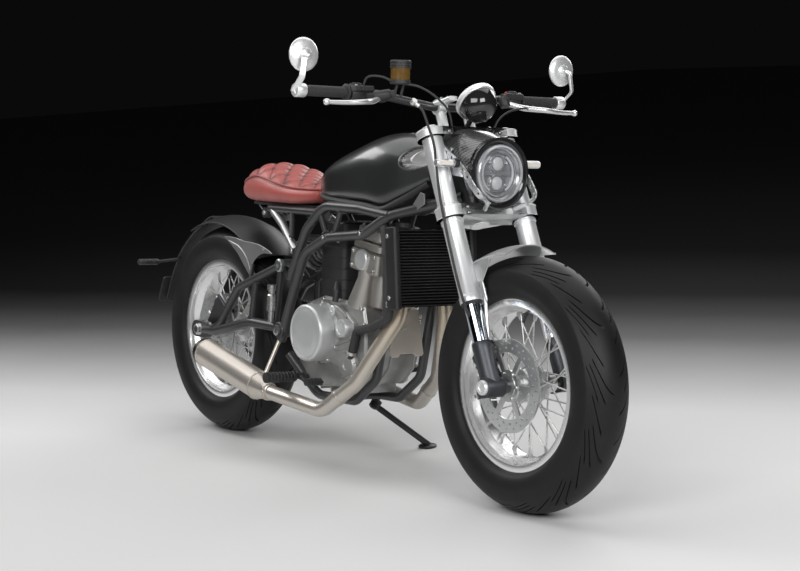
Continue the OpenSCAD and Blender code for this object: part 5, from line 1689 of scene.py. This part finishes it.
def oxblood_leather():
    """Grain from two sizes of voronoi cells; a noise drifts the tone, and painted shade darkens the
    stitched valleys and the seam by the mark the mesh carries, so the puffed panels read lighter."""
    material, add, shader, join = workbench("oxblood_leather")
    place = add("TexCoord").outputs["Object"]
    cloud = add("TexNoise", Vector=place, Scale=14.0, Detail=5.0).outputs[0]
    valley = add("Attribute", {"attribute_name": "valley"}).outputs["Fac"]
    tone_and_painted_shade = add("Math", {"operation": "MULTIPLY_ADD"}, i0=cloud, i1=0.5, i2=valley).outputs[0]
    # The noise is the leather's own tone; the valley mark adds painted shade, near black in the deepest hollows.
    join(ramp(add, tone_and_painted_shade, [(0.12, (0.42, 0.085, 0.070)), (0.5, (0.33, 0.058, 0.048)), (1.0, (0.10, 0.014, 0.012))]),
         shader.inputs["Base Color"])
    coarse = add("TexVoronoi", {"feature": "DISTANCE_TO_EDGE"}, Vector=place, Scale=620.0).outputs["Distance"]
    fine = add("TexNoise", Vector=place, Scale=1500.0, Detail=3.0).outputs[0]
    grain = add("Math", {"operation": "MULTIPLY_ADD"}, i0=fine, i1=0.3, i2=coarse).outputs[0]
    relief = add("Bump", Height=grain, Strength=0.5, Distance=0.00035)
    join(relief.outputs[0], shader.inputs["Normal"])
    worn = add("MapRange", Value=cloud, i1=0.3, i2=0.7, i3=0.34, i4=0.48)
    join(worn.outputs[0], shader.inputs["Roughness"])
    shader.inputs["Sheen Weight"].default_value = 0.12
    shader.inputs["Sheen Roughness"].default_value = 0.5
    return material


LEATHER = oxblood_leather()
THREAD = finish("seat_thread", [(0.20, 0.030, 0.026), (0.26, 0.040, 0.034)], 0, (0.5, 0.65), 300)


def saddle():
    """Sections flow from the crown over the seam and the full flank to the tucked floor. On
    the top panel each diamond swells as |sin p sin q| to 0.42, p and q being x/39 plus and
    minus y/33 in half turns; the seam is a narrow groove. Its hollows carry a mark of painted shade."""
    n = 240
    t = flow(SEAT_TABLE, n)
    half = np.array([[0, 1.0], [0.22, 0.997], [0.44, 0.975], [0.62, 0.925], [0.75, 0.85], [0.84, 0.755], [0.91, 0.65],
                     [0.97, 0.52], [1.0, 0.38], [0.985, 0.24], [0.93, 0.12], [0.82, 0.03], [0.62, 0.0], [0.3, 0.0], [0, 0.0]])
    curve = flow(half, 110)
    curve[:, 1] = np.clip(curve[:, 1], 0, 1.0)
    ring = np.vstack([curve, (curve * [-1, 1])[::-1][1:-1]])
    low, high = SEAT_PLATE + t[:, 2], t[:, 3]
    y = t[:, 1:2] * ring[None, :, 0]
    z = low[:, None] + (high - low)[:, None] * ring[None, :, 1]
    x = np.broadcast_to(t[:, :1], y.shape).copy()
    seam_at = 0.91
    share = np.abs(ring[:, 0])[None] + 0 * x
    upper = (ring[:, 1] > 0.45)[None] + 0 * x
    on_top = np.clip((seam_at - share) / 0.06, 0, 1) * upper * np.clip((x - 150) / 14, 0, 1) * np.clip((604 - x) / 14, 0, 1)
    p, q = (x / 39 + y / 33) * math.pi / 2 * 1.0, (x / 39 - y / 33) * math.pi / 2 * 1.0
    puff = (np.abs(np.sin(p)) * np.abs(np.sin(q))) ** 0.42
    seam = np.exp(-((share - seam_at - 0.015) / 0.018) ** 2) * upper * (x > 128)
    lift = on_top * (puff * 9.0 - 7.5) - 2.6 * seam
    z = z + lift
    grid = np.stack([x, y, z], -1)
    # Painted shade: this mark darkens the leather where the diamonds sink and along the seam.
    valley = on_top * (1 - puff) ** 2 * 1.2 + 0.5 * seam
    marks = {"valley": valley.ravel()}
    return [skin(grid)], marks, t


saddle_parts, saddle_marks, saddle_line = saddle()


def seam_piping():
    """A thin leather cord carried along the seam on both sides."""
    t = saddle_line[16:236]
    low, high = SEAT_PLATE + t[:, 2], t[:, 3]
    line = np.column_stack([t[:, 0], -t[:, 1] * 0.925, low + (high - low) * 0.66])
    return mirrored([skin(carried(line, circle(2.6, 10)))])


piping = seam_piping()
extra = sum(len(v) for v, f, k in piping)
# The piping takes a light share of the same painted shade.
saddle_marks["valley"] = np.concatenate([saddle_marks["valley"], np.full(extra, 0.25)])
saddle_piece = make("quilted_saddle", saddle_parts + piping, [LEATHER, THREAD], "frame", "seat", 60,
                    saddle_marks)

# ---- Rear mudguard and plate hanger -------------------------------------------------------
# A black guard over the rear tyre on two struts, with bright side stays, and a tubular hanger
# behind it that holds a bare plate, the tail lamp and two indicators.

GUARD_PAINT = finish("rear_guard_black", [(0.008, 0.008, 0.0085), (0.013, 0.013, 0.0135)], 0.0, (0.42, 0.54), 200)


def rear_guard():
    """The guard, its struts, and on both flanks the bright swept stay plate in two layers."""
    parts = guard(0, 355.5, 82, 24, 44, 116)
    fin = flow([[66, 617], [128, 616], [186, 609], [244, 606], [292, 599], [348, 580], [300, 578], [266, 566],
                [240, 544], [246, 522], [262, 507], [244, 502], [226, 504], [190, 534], [150, 568], [104, 596]], 90)
    rib = flow([[100, 606], [160, 592], [206, 562], [236, 516], [224, 512], [192, 550], [150, 582], [104, 600]], 60)
    for s in (-1, 1):
        parts.append(plate(fin, 3, [0, s * 85, 0], [1, 0, 0], [0, 0, 1], 0.8, 1))
        parts.append(plate(rib, 4, [0, s * 88, 0], [1, 0, 0], [0, 0, 1], 1.6, 1))
        parts.append(tube([[240, s * 84, 540], [262, s * 108, 492]], 6, 10, 16))
        parts += bolt([300, s * 87, 590], [0, s, 0], 5, 4, 1)
    return parts


make("rear_mudguard", rear_guard(), [GUARD_PAINT, SHEET_ALLOY], "frame", "rear_fender")


def plate_hanger():
    """A narrow arched tongue behind the tyre, the bare plate, tail lamp and two indicators."""
    arch = flow([[-96, 0, 668], [-154, 0, 640], [-232, 0, 592], [-300, 0, 532], [-352, 0, 458], [-384, 0, 384]], 60)
    parts = [skin(carried(arch, box_outline(7, 74, 3)))]
    parts += mirrored([tube(arch[2:40] + [3, -38, 2], 4, 200, 12)])
    parts.append(plate(box_outline(120, 88, 10), 4, [-382, 0, 416], [0, 1, 0], unit([0.38, 0, 0.925]), 0.8))
    parts.append(plate(box_outline(46, 20, 6), 12, [-340, 0, 500], [0, 1, 0], unit([0.575, 0, 0.818]), 2.5, 1))
    for s in (-1, 1):
        parts.append(tube([[-302, s * 30, 520], [-316, s * 112, 511]], 5, 10, 16))
        at = np.array([-318, s * 110, 511.0])
        parts.append(turned([(0, -4), (8, -4), (10, 0), (10, 16), (9, 18), (9, 20), (10, 22), (10, 64), (8, 68), (0, 68)],
                            at, [0, s, 0], 32))
        parts.append(plate(box_outline(44, 12, 3), 3, at + [-9.6, s * 42, 0], [0, 1, 0], [0, 0, 1], 0.8, 2))
    return parts


RED_LENS = finish("red_lens", [(0.30, 0.010, 0.012), (0.38, 0.014, 0.016)], 0, (0.06, 0.14), 60, coat=0.6)
make("plate_hanger", plate_hanger(), [BLACK_PLASTIC, RED_LENS, AMBER], "frame", "tail_hanger")

# ---- Foot controls and side stand ---------------------------------------------------------
# Knurled black pegs on cast hangers, a brake pedal on the right with its master cylinder, a
# gear lever on the left, and a bent steel prop stand with a round foot.

PEG_ALLOY = finish("anodised_peg", [(0.040, 0.040, 0.042), (0.058, 0.058, 0.061)], 0.7, (0.34, 0.5), 500, 0.00005)


def peg(start, end, r=15.0, rings=9, teeth=18, finish=0):
    """A knurled bar: radius falls in narrow grooves along it and flutes around it."""
    start, end = np.asarray(start, float), np.asarray(end, float)
    long = np.linalg.norm(end - start)
    d = np.linspace(0, long, rings * 8 + 1)
    a = np.arange(teeth * 4) * 2 * math.pi / (teeth * 4)
    groove = 1.6 * (np.cos(d * 2 * math.pi * rings / long) > 0.55)
    flute = 1.0 * (np.cos(a * teeth) > 0.3)
    inside = np.clip(np.minimum(d - 3, long - 3 - d) / 2, 0, 1)
    radius = r - (groove[:, None] + flute[None]) * inside[:, None]
    x, y, z = axes(end - start)
    grid = start + d[:, None, None] * z + radius[..., None] * (
        np.cos(a)[None, :, None] * x + np.sin(a)[None, :, None] * y)
    return skin(grid, finish=finish)


def right_foot():
    """Peg on its hanger, brake pedal with a knurled pad, and the master cylinder."""
    parts = [tube([[562, -88, 236], [585, -124, 246]], 12), tube([[585, -118, 246], [588, -150, 248]], 9),
             peg([588, -150, 247], [588, -248, 248]),
             tube([[576, -130, 250], [650, -148, 236], [730, -150, 248], [732, -160, 250]], 6, 16),
             peg([732, -158, 250], [732, -206, 252], 11, 5),
             turned([(0, 0), (9, 0), (9, 30), (13, 34), (13, 78), (10, 82), (10, 92), (14, 94), (14, 110), (0, 112)],
                    [408, -122, 384], [2, 0, 100], 32, 1)]
    parts += bolt([586, -127, 246], [0, -1, 0], 6, 5, 1)
    return parts


def left_foot():
    """Peg on its hanger and the gear lever with its knurled toe."""
    parts = [tube([[562, 88, 236], [585, 124, 246]], 12), tube([[585, 118, 246], [588, 150, 248]], 9),
             peg([588, 150, 247], [588, 248, 248]),
             tube([[576, 130, 252], [650, 140, 262], [732, 142, 268], [734, 160, 269]], 5, 14),
             peg([734, 156, 268.6], [734, 202, 270], 8.6, 5)]
    return parts


make("right_peg_and_pedal", right_foot(), [PEG_ALLOY, BRIGHT_BOLT], "frame", "foot_controls_right")
make("left_peg_and_lever", left_foot(), [PEG_ALLOY, BRIGHT_BOLT], "frame", "foot_controls_left")


def prop_stand():
    """Round leg from its eye to a dished foot."""
    foot = np.array([690, 258, (258 * math.sin(LEAN) - 0.46 + 9) / math.cos(LEAN)])
    pivot = np.array([650, 88, 158.0])
    axis = unit(np.cross(foot - pivot, [-1, 0.056, -0.028]))
    down = np.array([0, math.sin(LEAN), math.cos(LEAN)]) * [1, -1, 1]
    down = np.linalg.inv(LEANED) @ [0, 0, 1]
    way = unit(foot - pivot)
    parts = [tube([pivot + way * 13, foot], 9)]
    parts.append(turned([(6.1, -8), (14, -8), (15, -7), (15, 7), (14, 8), (6.1, 8)], pivot, axis, 40))
    parts.append(turned([(0, -9), (25, -9), (27, -7), (27, -3), (24, -1), (0, -1)], foot - np.array([4, 0, 0]), down, 40))
    return parts


STAND_PAINT = finish("stand_black", [(0.022, 0.022, 0.023), (0.032, 0.032, 0.033)], 0.3, (0.32, 0.46), 500, 0.00004)
make("prop_stand", prop_stand(), STAND_PAINT, "side_stand", "side_stand")
